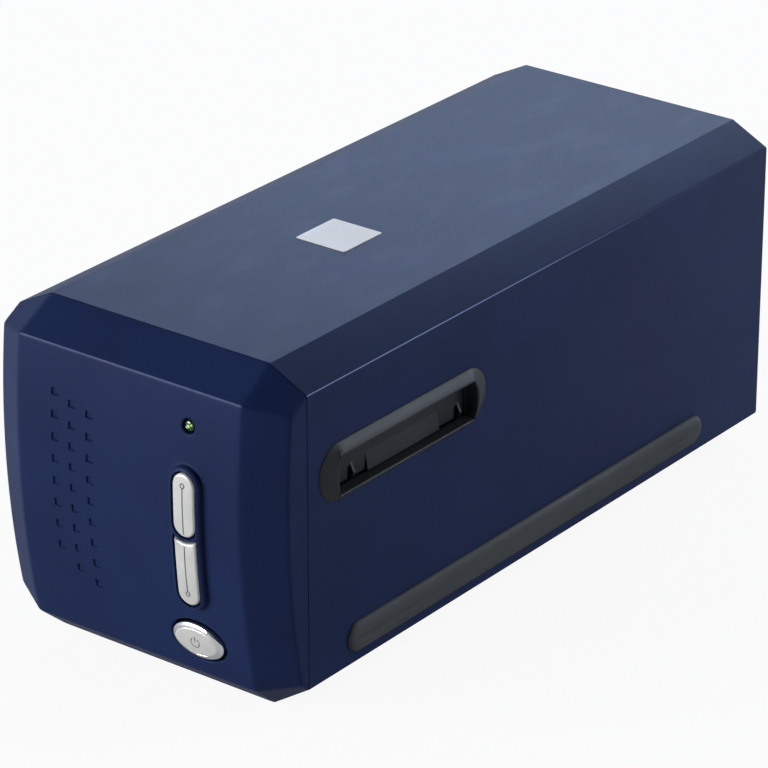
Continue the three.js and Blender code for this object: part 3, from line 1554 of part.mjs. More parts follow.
// Buttons and what they press
addPiece('scan_button_upper', upperButton(), silverPlastic);
addPiece('scan_button_lower', lowerButton(), silverPlastic);
addPiece('power_button', powerButton(), silverPlastic);
addPiece('lamp_lens', lampLens(), greenLens);
addPiece('button_board', buttonBoard(), circuitBoard);
addPiece('switch_upper', pushSwitchAt(scanX, (upperTopZ + upperBottomZ) / 2), blackPlastic);
addPiece('switch_lower', pushSwitchAt(scanX, (lowerTopZ + lowerBottomZ) / 2), blackPlastic);
addPiece('switch_power', pushSwitchAt(scanX, powerZ), blackPlastic);

// Dust doors
addPiece('dust_door_right', dustDoor(), blackPlastic);
addPiece('dust_door_left', mirrored(dustDoor()), blackPlastic);
addPiece('door_pin_right', doorPin(), steel);
addPiece('door_pin_left', mirrored(doorPin()), steel);
addPiece('door_spring_right', doorCoil(), steel);
addPiece('door_spring_left', mirrored(doorCoil()), steel);

// Electronics
addPiece('main_board', mainBoardPlate(), circuitBoard);
addPiece('processor_chip', processorChip(), blackPlastic);
addPiece('usb_socket', usbSocket(), steel);
addPiece('power_inlet', powerInlet(), blackPlastic);
addPiece('board_cable', boardCable(), greyPlastic);

// Film path
addPiece('film_guide_lower', lowerGuide(), blackPlastic);
addPiece('film_guide_upper', upperGuide(), blackPlastic);
addPiece('detent_plunger', detentPlunger(), steel);

// Drive
addPiece('guide_rod_right', guideRod(rodRightX), steel);
addPiece('guide_rod_left', guideRod(rodLeftX), steel);
addPiece('rod_bracket_front', rodBracket(frontBracketY), greyPlastic);
addPiece('rod_bracket_rear', rodBracket(rearBracketY), greyPlastic);
addPiece('lead_screw', leadScrewShaft(), steel);
addPiece('screw_bearing', screwBearingBlock(), greyPlastic);
addPiece('stepper_motor', stepperMotor(), steel);
addPiece('motor_bracket', motorBracketPlate(), steel);

// Scan carriage
addPiece('carriage_frame', carriageFrame(), greyPlastic);
addPiece('drive_nut', driveNut(), brass);
addPiece('folding_mirror', foldingMirror(), darkGlass);
addPiece('lens_barrel', lensBarrel(), blackPlastic);
addPiece('sensor_board', sensorBoardPlate(), circuitBoard);
addPiece('line_sensor', lineSensor(), darkGlass);
addPiece('lamp_arm', lampArm(), greyPlastic);
addPiece('lamp_bar', lampBarBody(), whiteDiffuser);

export default scanner;
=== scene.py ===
"""Looks of a desktop scanner for film strips and mounted slides.

Lengths are in millimetres until a mesh is made, and every piece is laid out in the row frame: X to
the right, Y to the back, Z up, with the table at Z = 0.
"""

from __future__ import annotations

import json
import logging
import math
from dataclasses import dataclass, field
from enum import Enum

import bmesh
import bpy
import numpy as np
from mathutils import Matrix, Vector

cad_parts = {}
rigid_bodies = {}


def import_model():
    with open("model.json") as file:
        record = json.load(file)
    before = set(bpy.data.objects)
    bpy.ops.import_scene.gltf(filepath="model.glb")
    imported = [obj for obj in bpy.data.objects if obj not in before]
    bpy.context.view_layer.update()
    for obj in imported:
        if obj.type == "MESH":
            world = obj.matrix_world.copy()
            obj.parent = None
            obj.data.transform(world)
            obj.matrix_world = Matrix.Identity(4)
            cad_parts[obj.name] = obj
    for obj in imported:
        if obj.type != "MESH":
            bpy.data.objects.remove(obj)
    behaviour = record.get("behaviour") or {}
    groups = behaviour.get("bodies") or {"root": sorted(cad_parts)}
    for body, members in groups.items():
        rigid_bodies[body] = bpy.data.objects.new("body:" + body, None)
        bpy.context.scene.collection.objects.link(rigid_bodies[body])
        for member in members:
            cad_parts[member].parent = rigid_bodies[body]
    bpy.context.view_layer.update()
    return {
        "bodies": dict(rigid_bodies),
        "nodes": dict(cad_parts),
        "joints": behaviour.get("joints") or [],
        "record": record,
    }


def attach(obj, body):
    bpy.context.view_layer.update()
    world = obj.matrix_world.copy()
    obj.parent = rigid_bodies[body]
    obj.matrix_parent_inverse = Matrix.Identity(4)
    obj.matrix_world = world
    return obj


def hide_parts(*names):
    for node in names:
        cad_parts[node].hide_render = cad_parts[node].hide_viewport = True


LOG = logging.getLogger("scanner")
MM = 0.001
QUARTER = math.pi / 2
HAIR = 0.01
OVERLAP = 0.05
Pair = tuple[float, float]
Triple = tuple[float, float, float]
Array = np.ndarray
Piece = bpy.types.Object


class Axis(Enum):
    """Direction that a flat outline is pushed along."""

    ALONG_X = "x"
    ALONG_Y = "y"
    ALONG_Z = "z"


# --- Flat outlines: arrays of (a, b) points that run anticlockwise ---------------------------


def turns(count: int) -> Array:
    """Angles at even steps round a full turn, from zero on."""
    return np.linspace(0, 2 * math.pi, count, endpoint=False)


def unit(angles: Array) -> Array:
    """Points on the circle of radius one: the cosine and the sine of each angle."""
    return np.stack([np.cos(angles), np.sin(angles)], axis=1)


def arc(centre: Pair, radius: float, start: float, end: float, count: int) -> Array:
    """Points on a circle's arc: centre plus radius times the cosine and sine of evenly spread angles."""
    return np.array(centre) + radius * unit(np.linspace(start, end, count))


def oval(centre: Pair, half_size: Pair, count: int) -> Array:
    """An ellipse: centre plus the two half sizes times the cosine and sine of the angle."""
    return np.array(centre) + np.array(half_size) * unit(turns(count))


def rounded_box(low: Pair, high: Pair, radius: float, count: int) -> Array:
    """A rectangle whose corners are quarter circles, from the lower left corner on.

    Args:
        low: lowest corner.
        high: highest corner.
        radius: corner radius.
        count: points in each corner.

    Returns:
        Points, one row each.
    """
    left, bottom, right, top = low[0] + radius, low[1] + radius, high[0] - radius, high[1] - radius
    centres = ((left, bottom), (right, bottom), (right, top), (left, top))
    return np.concatenate([
        arc(centre, radius, math.pi + QUARTER * turn, math.pi + QUARTER * (turn + 1), count)
        for turn, centre in enumerate(centres)
    ])


def stadium(low: Pair, high: Pair, count: int) -> Array:
    """A rectangle with round ends: a rounded box whose radius is a hair under half its shorter side."""
    return rounded_box(low, high, min(high[0] - low[0], high[1] - low[1]) / 2 - HAIR, count)


def bunched(count: int) -> Array:
    """Shares from 0 to 1 that lie closer together at both ends: half of one minus a cosine."""
    return 0.5 - 0.5 * np.cos(np.linspace(0, math.pi, count))


def quarter(count: int) -> list[Pair]:
    """Steps of a quarter turn: the sine of each angle, and one minus its cosine."""
    return [(math.sin(angle), 1 - math.cos(angle)) for angle in np.linspace(0, QUARTER, count)]


def offset(outline: Array, distance: float) -> Array:
    """Moves each point along the mean of its two edges' normals, outwards for a positive distance.

    Args:
        outline: closed outline.
        distance: how far out.

    Returns:
        The moved outline, with the same number of points.
    """
    back = outline - np.roll(outline, 1, axis=0)
    ahead = np.roll(outline, -1, axis=0) - outline
    back /= np.maximum(np.linalg.norm(back, axis=1, keepdims=True), 1e-9)
    ahead /= np.maximum(np.linalg.norm(ahead, axis=1, keepdims=True), 1e-9)
    normals = np.stack([back[:, 1] + ahead[:, 1], -back[:, 0] - ahead[:, 0]], axis=1)
    shrink = 1 + np.sum(back * ahead, axis=1, keepdims=True)
    return outline + distance * normals / np.maximum(shrink, 0.25)


def spread(outline: Array, count: int) -> Array:
    """Puts the points of a closed outline at even steps along its length.

    Args:
        outline: closed outline.
        count: number of points wanted.

    Returns:
        The same outline with the new points.
    """
    closed = np.concatenate([outline, outline[:1]])
    along = np.concatenate([[0], np.cumsum(np.linalg.norm(np.diff(closed, axis=0), axis=1))])
    wanted = np.linspace(0, along[-1], count, endpoint=False)
    return np.stack([np.interp(wanted, along, closed[:, side]) for side in (0, 1)], axis=1)


# --- Meshes ----------------------------------------------------------------------------------


@dataclass
class Skin:
    """Collects grids of points and their faces, and turns them into one closed mesh."""

    points: list[Array] = field(default_factory=list)
    faces: list[list[int]] = field(default_factory=list)
    total: int = 0

    def grid(self, rows: Array, close_rows: bool = False, close_columns: bool = False) -> Skin:
        """Adds a grid: point (row, column) is joined to its neighbours by four-sided faces.

        Args:
            rows: array of rows, columns and coordinates.
            close_rows: joins the last row to the first.
            close_columns: joins the last column to the first.

        Returns:
            This skin.
        """
        height, width = rows.shape[:2]
        index = np.arange(height * width).reshape(height, width) + self.total
        if close_rows:
            index = np.concatenate([index, index[:1]])
        if close_columns:
            index = np.concatenate([index, index[:, :1]], axis=1)
        quads = np.stack([index[:-1, :-1], index[:-1, 1:], index[1:, 1:], index[1:, :-1]], axis=-1)
        self.faces += quads.reshape(-1, 4).tolist()
        self.points.append(rows.reshape(-1, 3))
        self.total += height * width
        return self

    def cap(self, ring: Array) -> Skin:
        """Closes a ring with a fan about its middle point, which is the mean of the ring."""
        middle = ring.mean(axis=0, keepdims=True)
        return self.grid(np.stack([ring, np.repeat(middle, len(ring), axis=0)]), close_columns=True)

    def tube(self, rings: Array) -> Skin:
        """Adds closed rings, one row each, and closes the first and the last with fans."""
        return self.grid(rings, close_columns=True).cap(rings[0]).cap(rings[-1])

    def build(self, name: str, sharp: float) -> Piece:
        """Makes the mesh, and links it as an object at the origin.

        Args:
            name: name of the piece.
            sharp: edges that turn by more than this many degrees stay sharp.

        Returns:
            The new object.
        """
        mesh = bpy.data.meshes.new(name)
        mesh.from_pydata((np.concatenate(self.points) * MM).tolist(), [], self.faces)
        return linked(name, cleaned(mesh, sharp))


def cleaned(mesh: bpy.types.Mesh, sharp: float) -> bpy.types.Mesh:
    """Merges double points, drops flat faces, turns all faces outwards and smooths the shading.

    Args:
        mesh: the mesh, which is changed.
        sharp: edges that turn by more than this many degrees stay sharp.

    Returns:
        The same mesh.
    """
    work = bmesh.new()
    work.from_mesh(mesh)
    bmesh.ops.remove_doubles(work, verts=work.verts, dist=1e-6)
    bmesh.ops.dissolve_degenerate(work, edges=work.edges, dist=1e-7)
    bmesh.ops.recalc_face_normals(work, faces=work.faces)
    work.to_mesh(mesh)
    work.free()
    mesh.shade_smooth()
    mesh.set_sharp_from_angle(angle=math.radians(sharp))
    return mesh


def linked(name: str, data: bpy.types.ID) -> Piece:
    """Puts a mesh, a camera or a light in the scene.

    Args:
        name: name of the object.
        data: what it holds.

    Returns:
        The object, at the origin.
    """
    made = bpy.data.objects.new(name, data)
    bpy.context.scene.collection.objects.link(made)
    return made


def lofted(name: str, rings: list[Array], sharp: float = 32) -> Piece:
    """Piece with a skin over rings and a fan at each end."""
    return Skin().tube(np.stack(rings)).build(name, sharp)


def looped(name: str, rings: list[Array], sharp: float = 32) -> Piece:
    """Piece with a skin over rings, whose last ring is joined to the first."""
    return Skin().grid(np.stack(rings), close_rows=True, close_columns=True).build(name, sharp)


def placed(outline: Array, axis: Axis, level: float | Array) -> Array:
    """Stands a flat outline in space: it keeps its two numbers across the axis.

    Args:
        outline: flat points.
        axis: direction that the outline is pushed along.
        level: place along the axis, one for all points or one for each.

    Returns:
        Points in space, one row each.
    """
    a, b = outline.T
    along = np.broadcast_to(level, a.shape)
    order = {Axis.ALONG_X: (along, a, b), Axis.ALONG_Y: (a, along, b), Axis.ALONG_Z: (a, b, along)}
    return np.stack(order[axis], axis=1)


def stepped(outline: Array, axis: Axis, steps: list[Pair]) -> list[Array]:
    """Rings of an outline: each is moved out by a step's first number and stands at its second."""
    return [placed(offset(outline, out), axis, level) for out, level in steps]


def prism(name: str, outline: Array, axis: Axis, start: float, end: float) -> Piece:
    """A straight closed bar with this section between two levels of its axis."""
    return lofted(name, [placed(outline, axis, level) for level in (start, end)])


def hoops(path: Array, first: Array, second: Array, radius: float, sides: int) -> Array:
    """Circles round a path: cosine times the first direction plus sine times the second.

    Args:
        path: middle points, one row each.
        first: a direction across the path at each point.
        second: the other direction across it.
        radius: radius of the circles.
        sides: points in each circle.

    Returns:
        Rings, one row each.
    """
    cosine, sine = unit(turns(sides)).T[:, None, :, None]
    return path[:, None] + radius * (cosine * first[:, None] + sine * second[:, None])


def swept(name: str, path: Array, radius: float, sides: int) -> Piece:
    """A round bar along a path: each ring lies across the path's own direction.

    Args:
        name: name of the object.
        path: points, one row each.
        radius: radius of the bar.
        sides: points in each ring.

    Returns:
        The closed bar.
    """
    ahead = np.gradient(path, axis=0)
    ahead /= np.linalg.norm(ahead, axis=1, keepdims=True)
    side = np.cross(ahead, np.array([0.0, 1.0, 0.0]))
    side /= np.maximum(np.linalg.norm(side, axis=1, keepdims=True), 1e-9)
    return lofted(name, hoops(path, side, np.cross(side, ahead), radius, sides))


def shaped(piece: Piece, tools: list[Piece], operation: str, sharp: float) -> None:
    """Cuts or joins tools into a piece, one after the other, and removes the tools.

    Args:
        piece: the closed piece, whose mesh is replaced.
        tools: closed pieces that are used up.
        operation: DIFFERENCE or UNION.
        sharp: edges that turn by more than this many degrees stay sharp.
    """
    for tool in tools:
        step = piece.modifiers.new(tool.name, "BOOLEAN")
        step.operation, step.solver, step.object = operation, "MANIFOLD", tool
    bpy.context.view_layer.update()
    graph = bpy.context.evaluated_depsgraph_get()
    mesh = bpy.data.meshes.new_from_object(piece.evaluated_get(graph))
    piece.modifiers.clear()
    piece.data = cleaned(mesh, sharp)
    for tool in tools:
        bpy.data.objects.remove(tool)


# --- Shaders ---------------------------------------------------------------------------------


class Value:
    """A number or colour in a node tree, on which Python's own operators add Math nodes."""

    def __init__(self, nodes: Nodes, socket: bpy.types.NodeSocket) -> None:
        """Wraps one output socket."""
        self.nodes, self.socket = nodes, socket

    def _math(self, operation: str, first: Value | float, second: Value | float) -> Value:
        """One Math node on two numbers."""
        return self.nodes.node("ShaderNodeMath", {"operation": operation}, {0: first, 1: second})

    def __add__(self, other: Value | float) -> Value:
        """Sum, in either order."""
        return self._math("ADD", self, other)

    def __sub__(self, other: Value | float) -> Value:
        """Difference."""
        return self._math("SUBTRACT", self, other)

    def __rsub__(self, other: float) -> Value:
        """Difference from a number."""
        return self._math("SUBTRACT", other, self)

    def __mul__(self, other: Value | float) -> Value:
        """Product, in either order."""
        return self._math("MULTIPLY", self, other)

    __radd__ = __add__
    __rmul__ = __mul__

    def between(self, low: float, high: float, start: float = 0, end: float = 1) -> Value:
        """Smooth step from the start at the low value to the end at the high value."""
        inputs = {"Value": self, "From Min": low, "From Max": high, "To Min": start, "To Max": end}
        return self.nodes.node("ShaderNodeMapRange", {"interpolation_type": "SMOOTHSTEP"}, inputs)

    def within(self, rise: Pair, fall: Pair) -> Value:
        """Goes up to one over the first range, and back to zero over the second."""
        return self.between(*rise) * (1 - self.between(*fall))


class Nodes:
    """Builds the node tree of a material or of the world."""

    def __init__(self, owner: bpy.types.Material | bpy.types.World, output: str) -> None:
        """Starts with an empty tree.

        Args:
            owner: material or world that has the tree.
            output: type of its output node.
        """
        owner.use_nodes = True
        self.tree = owner.node_tree
        self.tree.nodes.clear()
        self.output = self.tree.nodes.new(output)

    def node(
        self, kind: str, settings: dict[str, object], inputs: dict[object, object], output: str | int = 0
    ) -> Value:
        """Adds a node.

        Args:
            kind: the node's type.
            settings: its settings, which are set first.
            inputs: values or links of its sockets, by name, identifier or number.
            output: name or number of the output that is wanted.

        Returns:
            That output.
        """
        made = self.tree.nodes.new(kind)
        for key, value in settings.items():
            setattr(made, key, value)
        for key, value in inputs.items():
            self.feed(made, key, value)
        return Value(self, self.found(made.outputs, output))

    def found(self, sockets: bpy.types.bpy_prop_collection, key: str | int) -> bpy.types.NodeSocket:
        """A socket by its number, or the first with this name or identifier."""
        named = (socket for socket in sockets if key in (socket.identifier, socket.name))
        return sockets[key] if isinstance(key, int) else next(named)

    def feed(self, made: bpy.types.Node, key: str | int, value: object) -> None:
        """Links or sets one input socket of a node.

        Args:
            made: the node.
            key: name, identifier or number of the socket.
            value: an output to link, or a constant.
        """
        socket = self.found(made.inputs, key)
        if isinstance(value, Value):
            self.tree.links.new(value.socket, socket)
        else:
            socket.default_value = value

    def ray(self, kind: str) -> Value:
        """One on rays of a kind, such as Is Camera Ray, and zero on all others."""
        return self.node("ShaderNodeLightPath", {}, {}, kind)


class Shader(Nodes):
    """Builds the nodes of one finish."""

    def __init__(self, name: str) -> None:
        """Starts a material with a Principled shader.

        Args:
            name: name of the finish.
        """
        self.material = bpy.data.materials.new(f"{name}_finish")
        super().__init__(self.material, "ShaderNodeOutputMaterial")
        self.principled = self.tree.nodes.new("ShaderNodeBsdfPrincipled")
        self.tree.links.new(self.principled.outputs[0], self.output.inputs["Surface"])

    def position(self) -> Value:
        """Place on the object, in millimetres."""
        inside = self.node("ShaderNodeTexCoord", {}, {}, "Object")
        return self.node("ShaderNodeVectorMath", {"operation": "SCALE"}, {0: inside, "Scale": 1 / MM})

    def unsigned(self, kind: str, letter: str) -> Value:
        """One number of the place or the normal on the object, without its sign."""
        number = self.node("ShaderNodeSeparateXYZ", {}, {0: self.node("ShaderNodeTexCoord", {}, {}, kind)}, letter)
        return self.node("ShaderNodeMath", {"operation": "ABSOLUTE"}, {0: number})

    def painted_highlight_lines(self) -> Value:
        """Finds the rounded edges above the sides and round the bezel's brow, by place and normal, where a highlight is
        painted.

        Returns:
            Mask of the painted highlight: one on the edges above the sides, about a third on the brow, and zero
                elsewhere.
        """
        across, along = self.unsigned("Normal", "X"), self.unsigned("Normal", "Y")
        outer = self.unsigned("Object", "X").between(50 * MM, 52 * MM)
        side = across.within((0.69, 0.78), (0.9, 0.96)) * (1 - along.between(0.04, 0.1))
        front = self.unsigned("Object", "Y").between(126 * MM, 128 * MM)
        high = self.unsigned("Object", "Z").between(100 * MM, 102 * MM)
        brow = along.within((0.62, 0.72), (0.84, 0.95)) * (1 - across.between(0.1, 0.25))
        return side * outer + brow * (front * high) * 0.34

    def stretched(self, place: Value, stretch: Triple) -> Value:
        """Place with each of its three numbers multiplied."""
        return self.node("ShaderNodeVectorMath", {"operation": "MULTIPLY"}, {0: place, 1: stretch})

    def noise(self, place: Value, size: float, detail: float) -> Value:
        """Cloudy noise from zero to one, with clouds of about this size in millimetres."""
        inputs = {"Vector": place, "Scale": 1 / size, "Detail": detail, "Roughness": 0.55}
        return self.node("ShaderNodeTexNoise", {}, inputs, "Fac")

    def cells(self, place: Value, size: float, feature: str = "F1") -> Value:
        """Distance to the nearest of scattered points, about this far apart, or to their borders."""
        inputs = {"Vector": place, "Scale": 1 / size}
        return self.node("ShaderNodeTexVoronoi", {"feature": feature}, inputs, "Distance")

    def blend(self, share: Value, first: object, second: object) -> Value:
        """Mixes two colours by a share."""
        inputs = {"Factor_Float": share, "A_Color": first, "B_Color": second}
        return self.node("ShaderNodeMix", {"data_type": "RGBA"}, inputs, "Result_Color")

    def bump(self, height: Value, strength: float, distance: float) -> Value:
        """Normal of a surface that rises by the height times the distance in millimetres."""
        inputs = {"Height": height, "Strength": strength, "Distance": distance * MM}
        return self.node("ShaderNodeBump", {}, inputs)

    def finish(self, **inputs: object) -> bpy.types.Material:
        """Feeds sockets of the Principled shader.

        Args:
            **inputs: values or links by the sockets' names, spaces written as underscores.

        Returns:
            The material.
        """
        for key, value in inputs.items():
            self.feed(self.principled, key.replace("_", " "), value)
        return self.material


def paint(code: str) -> tuple[float, float, float, float]:
    """Turns a screen colour such as 1d2750 into linear light.

    Args:
        code: two hexadecimal digits each for red, green and blue.

    Returns:
        The three levels, with full cover.
    """
    values = np.array([int(code[start:start + 2], 16) for start in (0, 2, 4)]) / 255
    linear = np.where(values <= 0.04045, values / 12.92, ((values + 0.055) / 1.055) ** 2.4)
    return (*linear.tolist(), 1.0)


@dataclass(frozen=True)
class Moulded:
    """Plastic or rubber from a textured mould: fine grain, cloudy tone and rubbed patches."""

    name: str
    slot: str
    colour: str
    cloud: str
    roughness: float = 0.42
    grain_size: float = 0.5
    grain_depth: float = 0.02
    grain_strength: float = 0.25
    rub: float = 0.1
    specular: float = 0.4
    # Colour of a painted highlight along rounded edges, or none.
    edge: str | None = None
    cloud_size: float = 38
    rub_size: float = 9

    def material(self) -> bpy.types.Material:
        """Makes the material: colour by clouds and specks, gloss by rubbed patches, bump by grain.

        A finish with an edge colour gets a painted highlight: it is paler where the outer sides begin and round the
        brow.

        Returns:
            The material.
        """
        shader = Shader(self.name)
        place = shader.position()
        clouds = shader.noise(place, self.cloud_size, 2)
        specks = shader.noise(place, self.grain_size * 1.7, 2)
        grain = shader.cells(place, self.grain_size)
        rubbed = shader.noise(shader.stretched(place, (1, 0.35, 1)), self.rub_size, 4).between(0.45, 0.75)
        tone = clouds * 0.7 + specks * 0.3
        colour = shader.blend(tone.between(0.3, 0.7), paint(self.colour), paint(self.cloud))
        if self.edge:
            # Painted highlight: the pale edge colour is mixed in along the rounded edges, more where the specks are.
            colour = shader.blend(shader.painted_highlight_lines() * (0.6 + specks * 0.6), colour, paint(self.edge))
        return shader.finish(
            Base_Color=colour,
            Roughness=self.roughness + grain * 0.1 - rubbed * self.rub,
            Normal=shader.bump(grain + specks * 0.6, self.grain_strength, self.grain_depth),
            Specular_IOR_Level=self.specular,
        )


@dataclass(frozen=True)
class Metal:
    """Metal or metal paint with fine lines along one direction."""

    name: str
    slot: str
    colour: str
    dark: str
    metallic: float = 1.0
    roughness: float = 0.3
    line_size: float = 0.25
    stretch: Triple = (1, 1, 1)
    line_depth: float = 0.006
    smudge_size: float = 6

    def material(self) -> bpy.types.Material:
        """Makes the material: lines and smudges change the colour, the gloss and the normal.

        Returns:
            The material.
        """
        shader = Shader(self.name)
        place = shader.position()
        lines = shader.noise(shader.stretched(place, self.stretch), self.line_size, 3)
        smudges = shader.noise(place, self.smudge_size, 3)
        share = (lines * 0.5 + smudges * 0.5).between(0.25, 0.75)
        return shader.finish(
            Base_Color=shader.blend(share, paint(self.dark), paint(self.colour)),
            Metallic=self.metallic,
            Roughness=self.roughness + lines * 0.1 + smudges * 0.06 - 0.08,
            Normal=shader.bump(lines, 0.3, self.line_depth),
        )


@dataclass(frozen=True)
class Glassy:
    """Clear or tinted lens, mirror or diffuser: smooth, with faint dust and ripples."""

    name: str
    slot: str
    colour: str
    deep: str
    roughness: float = 0.08
    glow: float = 0.0
    coat: float = 0.6
    core_size: float = 1.1
    dust_size: float = 0.7
    ripple_size: float = 2.5
    painted_glints: tuple[Triple, ...] = ()

    def material(self) -> bpy.types.Material:
        """Makes the material: a cellular core, which gives painted glints where the colour is bright, dust in the gloss
        and a slow ripple in the normal.

        Each painted glint is a bright spot of painted highlight, given by its x, its z and its radius.

        Returns:
            The material.
        """
        shader = Shader(self.name)
        place = shader.position()
        core = shader.cells(place, self.core_size).between(0.02, 0.2)
        dust = shader.noise(place, self.dust_size, 4).between(0.55, 0.8)
        flat = shader.stretched(place, (1, 0, 1))
        # Painted glints: near each spot the colour turns to the bright one.
        for across, level, radius in self.painted_glints:
            inputs = {0: flat, 1: (across, 0, level)}
            distance = shader.node("ShaderNodeVectorMath", {"operation": "DISTANCE"}, inputs, "Value")
            core = core * distance.between(radius * 0.3, radius)
        colour = shader.blend(core, paint(self.colour), paint(self.deep))
        return shader.finish(
            Base_Color=colour,
            Roughness=self.roughness + dust * 0.25,
            # The emission glows in the same colour: on the lamp lens it is partly the lamp's own glow and partly the
            # painted glints shining.
            Emission_Color=colour,
            Emission_Strength=self.glow,
            Coat_Weight=self.coat,
            Coat_Roughness=0.05,
            Normal=shader.bump(shader.noise(place, self.ripple_size, 1), 0.15, 0.02),
        )


@dataclass(frozen=True)
class Circuit:
    """Circuit board with copper tracks under its lacquer."""

    name: str
    slot: str
    colour: str
    track: str
    track_pitch: float = 4.5
    weave_size: float = 0.8

    def material(self) -> bpy.types.Material:
        """Makes the material: tracks are the thin lines between scattered cells.

        Returns:
            The material.
        """
        shader = Shader(self.name)
        place = shader.position()
        tracks = 1 - shader.cells(place, self.track_pitch, "DISTANCE_TO_EDGE").between(0.03, 0.07)
        weave = shader.noise(place, self.weave_size, 2)
        return shader.finish(
            Base_Color=shader.blend(tracks * 0.75 + weave * 0.2, paint(self.colour), paint(self.track)),
            Roughness=0.4 + weave * 0.15,
            Normal=shader.bump(tracks + weave * 0.2, 0.4, 0.04),
        )


class Finish(Enum):
    """Finishes of the scanner's pieces."""

    NAVY = Moulded(
        "navy_satin", "navy_plastic", "111e41", "142349", roughness=0.42, grain_depth=0.012, rub=0.03, specular=0.088,
        # The edge colour paints a pale highlight along the upper side edges and the brow.
        edge="7f8bb8",
    )
    SLOT = Moulded(
        "slot_black", "black_plastic", "1e1f22", "26272a", roughness=0.36, grain_size=0.4, specular=0.17,
        grain_depth=0.035, grain_strength=0.4,
    )
    DOOR = Moulded("door_black", "black_plastic", "1b1c1f", "242528", roughness=0.45, grain_size=0.3, specular=0.16)
    # Dark grey: print for the power mark, and painted shade in the dark bars laid in the scan buttons' engraved
    # grooves.
    INK_AND_GROOVE_SHADE = Moulded("print_and_groove_shade", "black_plastic", "54565a", "626469", roughness=0.6, grain_size=0.2)
    BLACK = Moulded("black_parts", "black_plastic", "1d1e20", "26282a", roughness=0.5)
    RUBBER = Moulded(
        "rubber", "rubber", "313235", "3a3b3e", roughness=0.6, grain_size=0.35, grain_depth=0.04, specular=0.35
    )
    GREY = Moulded("grey_parts", "grey_plastic", "64686d", "70757a", roughness=0.55)
    FILM = Moulded("label_film", "white_film", "cbc4b9", "d5cec3", roughness=0.38, grain_size=0.8, grain_depth=0.006)
    DIFFUSER = Moulded("diffuser", "diffuser", "efece4", "f7f5ef", roughness=0.5, grain_size=0.7)
    SILVER = Metal(
        "silver_satin", "silver_plastic", "cdccc9", "bfbebb", metallic=0.35, roughness=0.36, stretch=(6, 6, 0.5)
    )
    POLISHED = Metal("silver_polished", "silver_plastic", "e2e3e4", "cfd1d3", roughness=0.14, line_depth=0.001)
    STEEL = Metal("steel", "steel", "b9bbbe", "8f9296", stretch=(1, 0.12, 1))
    BRASS = Metal("brass", "brass", "c7a566", "9c7c3f", stretch=(1, 0.2, 1))
    # Lamp lens: the bright green at the cell cores and at the three glints is painted highlight, and it also glows.
    LENS = Glassy(
        "green_lens", "green_lens", "9fd970", "0c2607", glow=0.3,
        painted_glints=((24.5, 97.75, 0.75), (23.55, 97.05, 0.6), (25.55, 98.3, 0.5)),
    )
    GLASS = Glassy("dark_glass", "dark_glass", "0f1216", "1b2026")
    BOARD = Circuit("circuit_board", "circuit_board", "16452a", "3f7a4c")

    def on(self, piece: Piece) -> Piece:
        """Gives a piece this finish.

        Args:
            piece: the finished piece.

        Returns:
            The same piece.
        """
        made = bpy.data.materials.get(f"{self.value.name}_finish") or self.value.material()
        piece.data.materials.clear()
        piece.data.materials.append(made)
        return piece


def settle(piece: Piece, finish: Finish, body: str, *nodes: str) -> None:
    """Dresses a new piece, puts it on its body and hides the nodes that it stands for.

    Args:
        piece: the new piece.
        finish: its finish.
        body: the CAD body that it rides on.
        *nodes: CAD nodes that it replaces.
    """
    finish.on(piece)
    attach(piece, body)
    if nodes:
        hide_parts(*nodes)
    LOG.info("%s: %d faces, rides on %s", piece.name, len(piece.data.polygons), body)


# --- Housing ---------------------------------------------------------------------------------


@dataclass
class Body:
    """Section of the housing, which has eight sides, and the bowed face in front of it."""

    half_width: float = 58
    base: float = 1.5
    sill: float = 10.8
    shoulder: float = 111.4
    roof: float = 118.5
    flat_half: float = 43.9
    wall: float = 2.4
    rear: float = 137.2
    parting: float = -117.8
    groove: float = 0.3
    crown_front: float = -134.8
    crown_level: float = 72.99
    bow: float = 300
    face_half: float = 44.7
    face_low: float = 10.3
    face_high: float = 109.65
    side_back: float = 7.7

    def face(self, level: Array | float) -> Array | float:
        """Y of the bowed face: a circle of the bow's radius that comes furthest forward at the crown."""
        return self.crown_front + self.bow - np.sqrt(self.bow**2 - (level - self.crown_level) ** 2)

    def laid(self, outline: Array, behind: float) -> Array:
        """Outline in (x, z) laid this far behind the bowed face."""
        return placed(outline, Axis.ALONG_Y, self.face(outline[:, 1]) + behind)

    def rings(self, outline: Array, steps: list[Pair]) -> list[Array]:
        """Rings of an outline: each is moved out by a step's first number and laid behind the face by its second."""
        return [self.laid(offset(outline, out), behind) for out, behind in steps]

    def dome(self, outline: Array, middle: Array, shares: tuple[float, ...], sag: float, proud: float) -> list[Array]:
        """Rings that shrink by shares towards the middle, proud of the face less the sag times the share squared."""
        return [self.laid(middle + (outline - middle) * share, sag * share**2 - proud) for share in shares]

    def section(self, inward: float = 0) -> Array:
        """The eight corners of the body's section, anticlockwise from the right side's lower end.

        Args:
            inward: how far the section is moved in.

        Returns:
            Corners in (x, z).
        """
        wide, flat = self.half_width, self.flat_half
        right = [(wide, self.sill), (wide, self.shoulder), (flat, self.roof)]
        left = [(-flat, self.roof), (-wide, self.shoulder), (-wide, self.sill)]
        return offset(np.array([*right, *left, (-flat, self.base), (flat, self.base)]), -inward)


def smooth_greatest(values: list[Array], sharpness: float) -> Array:
    """Greatest of several fields, softened: the logarithm of the sum of their exponentials.

    Args:
        values: fields of one shape, in millimetres.
        sharpness: the greater, the tighter the rounding between them.

    Returns:
        The softened greatest field.
    """
    stack = np.stack(values) * sharpness
    top = stack.max(axis=0)
    return (top + np.log(np.exp(stack - top).sum(axis=0))) / sharpness


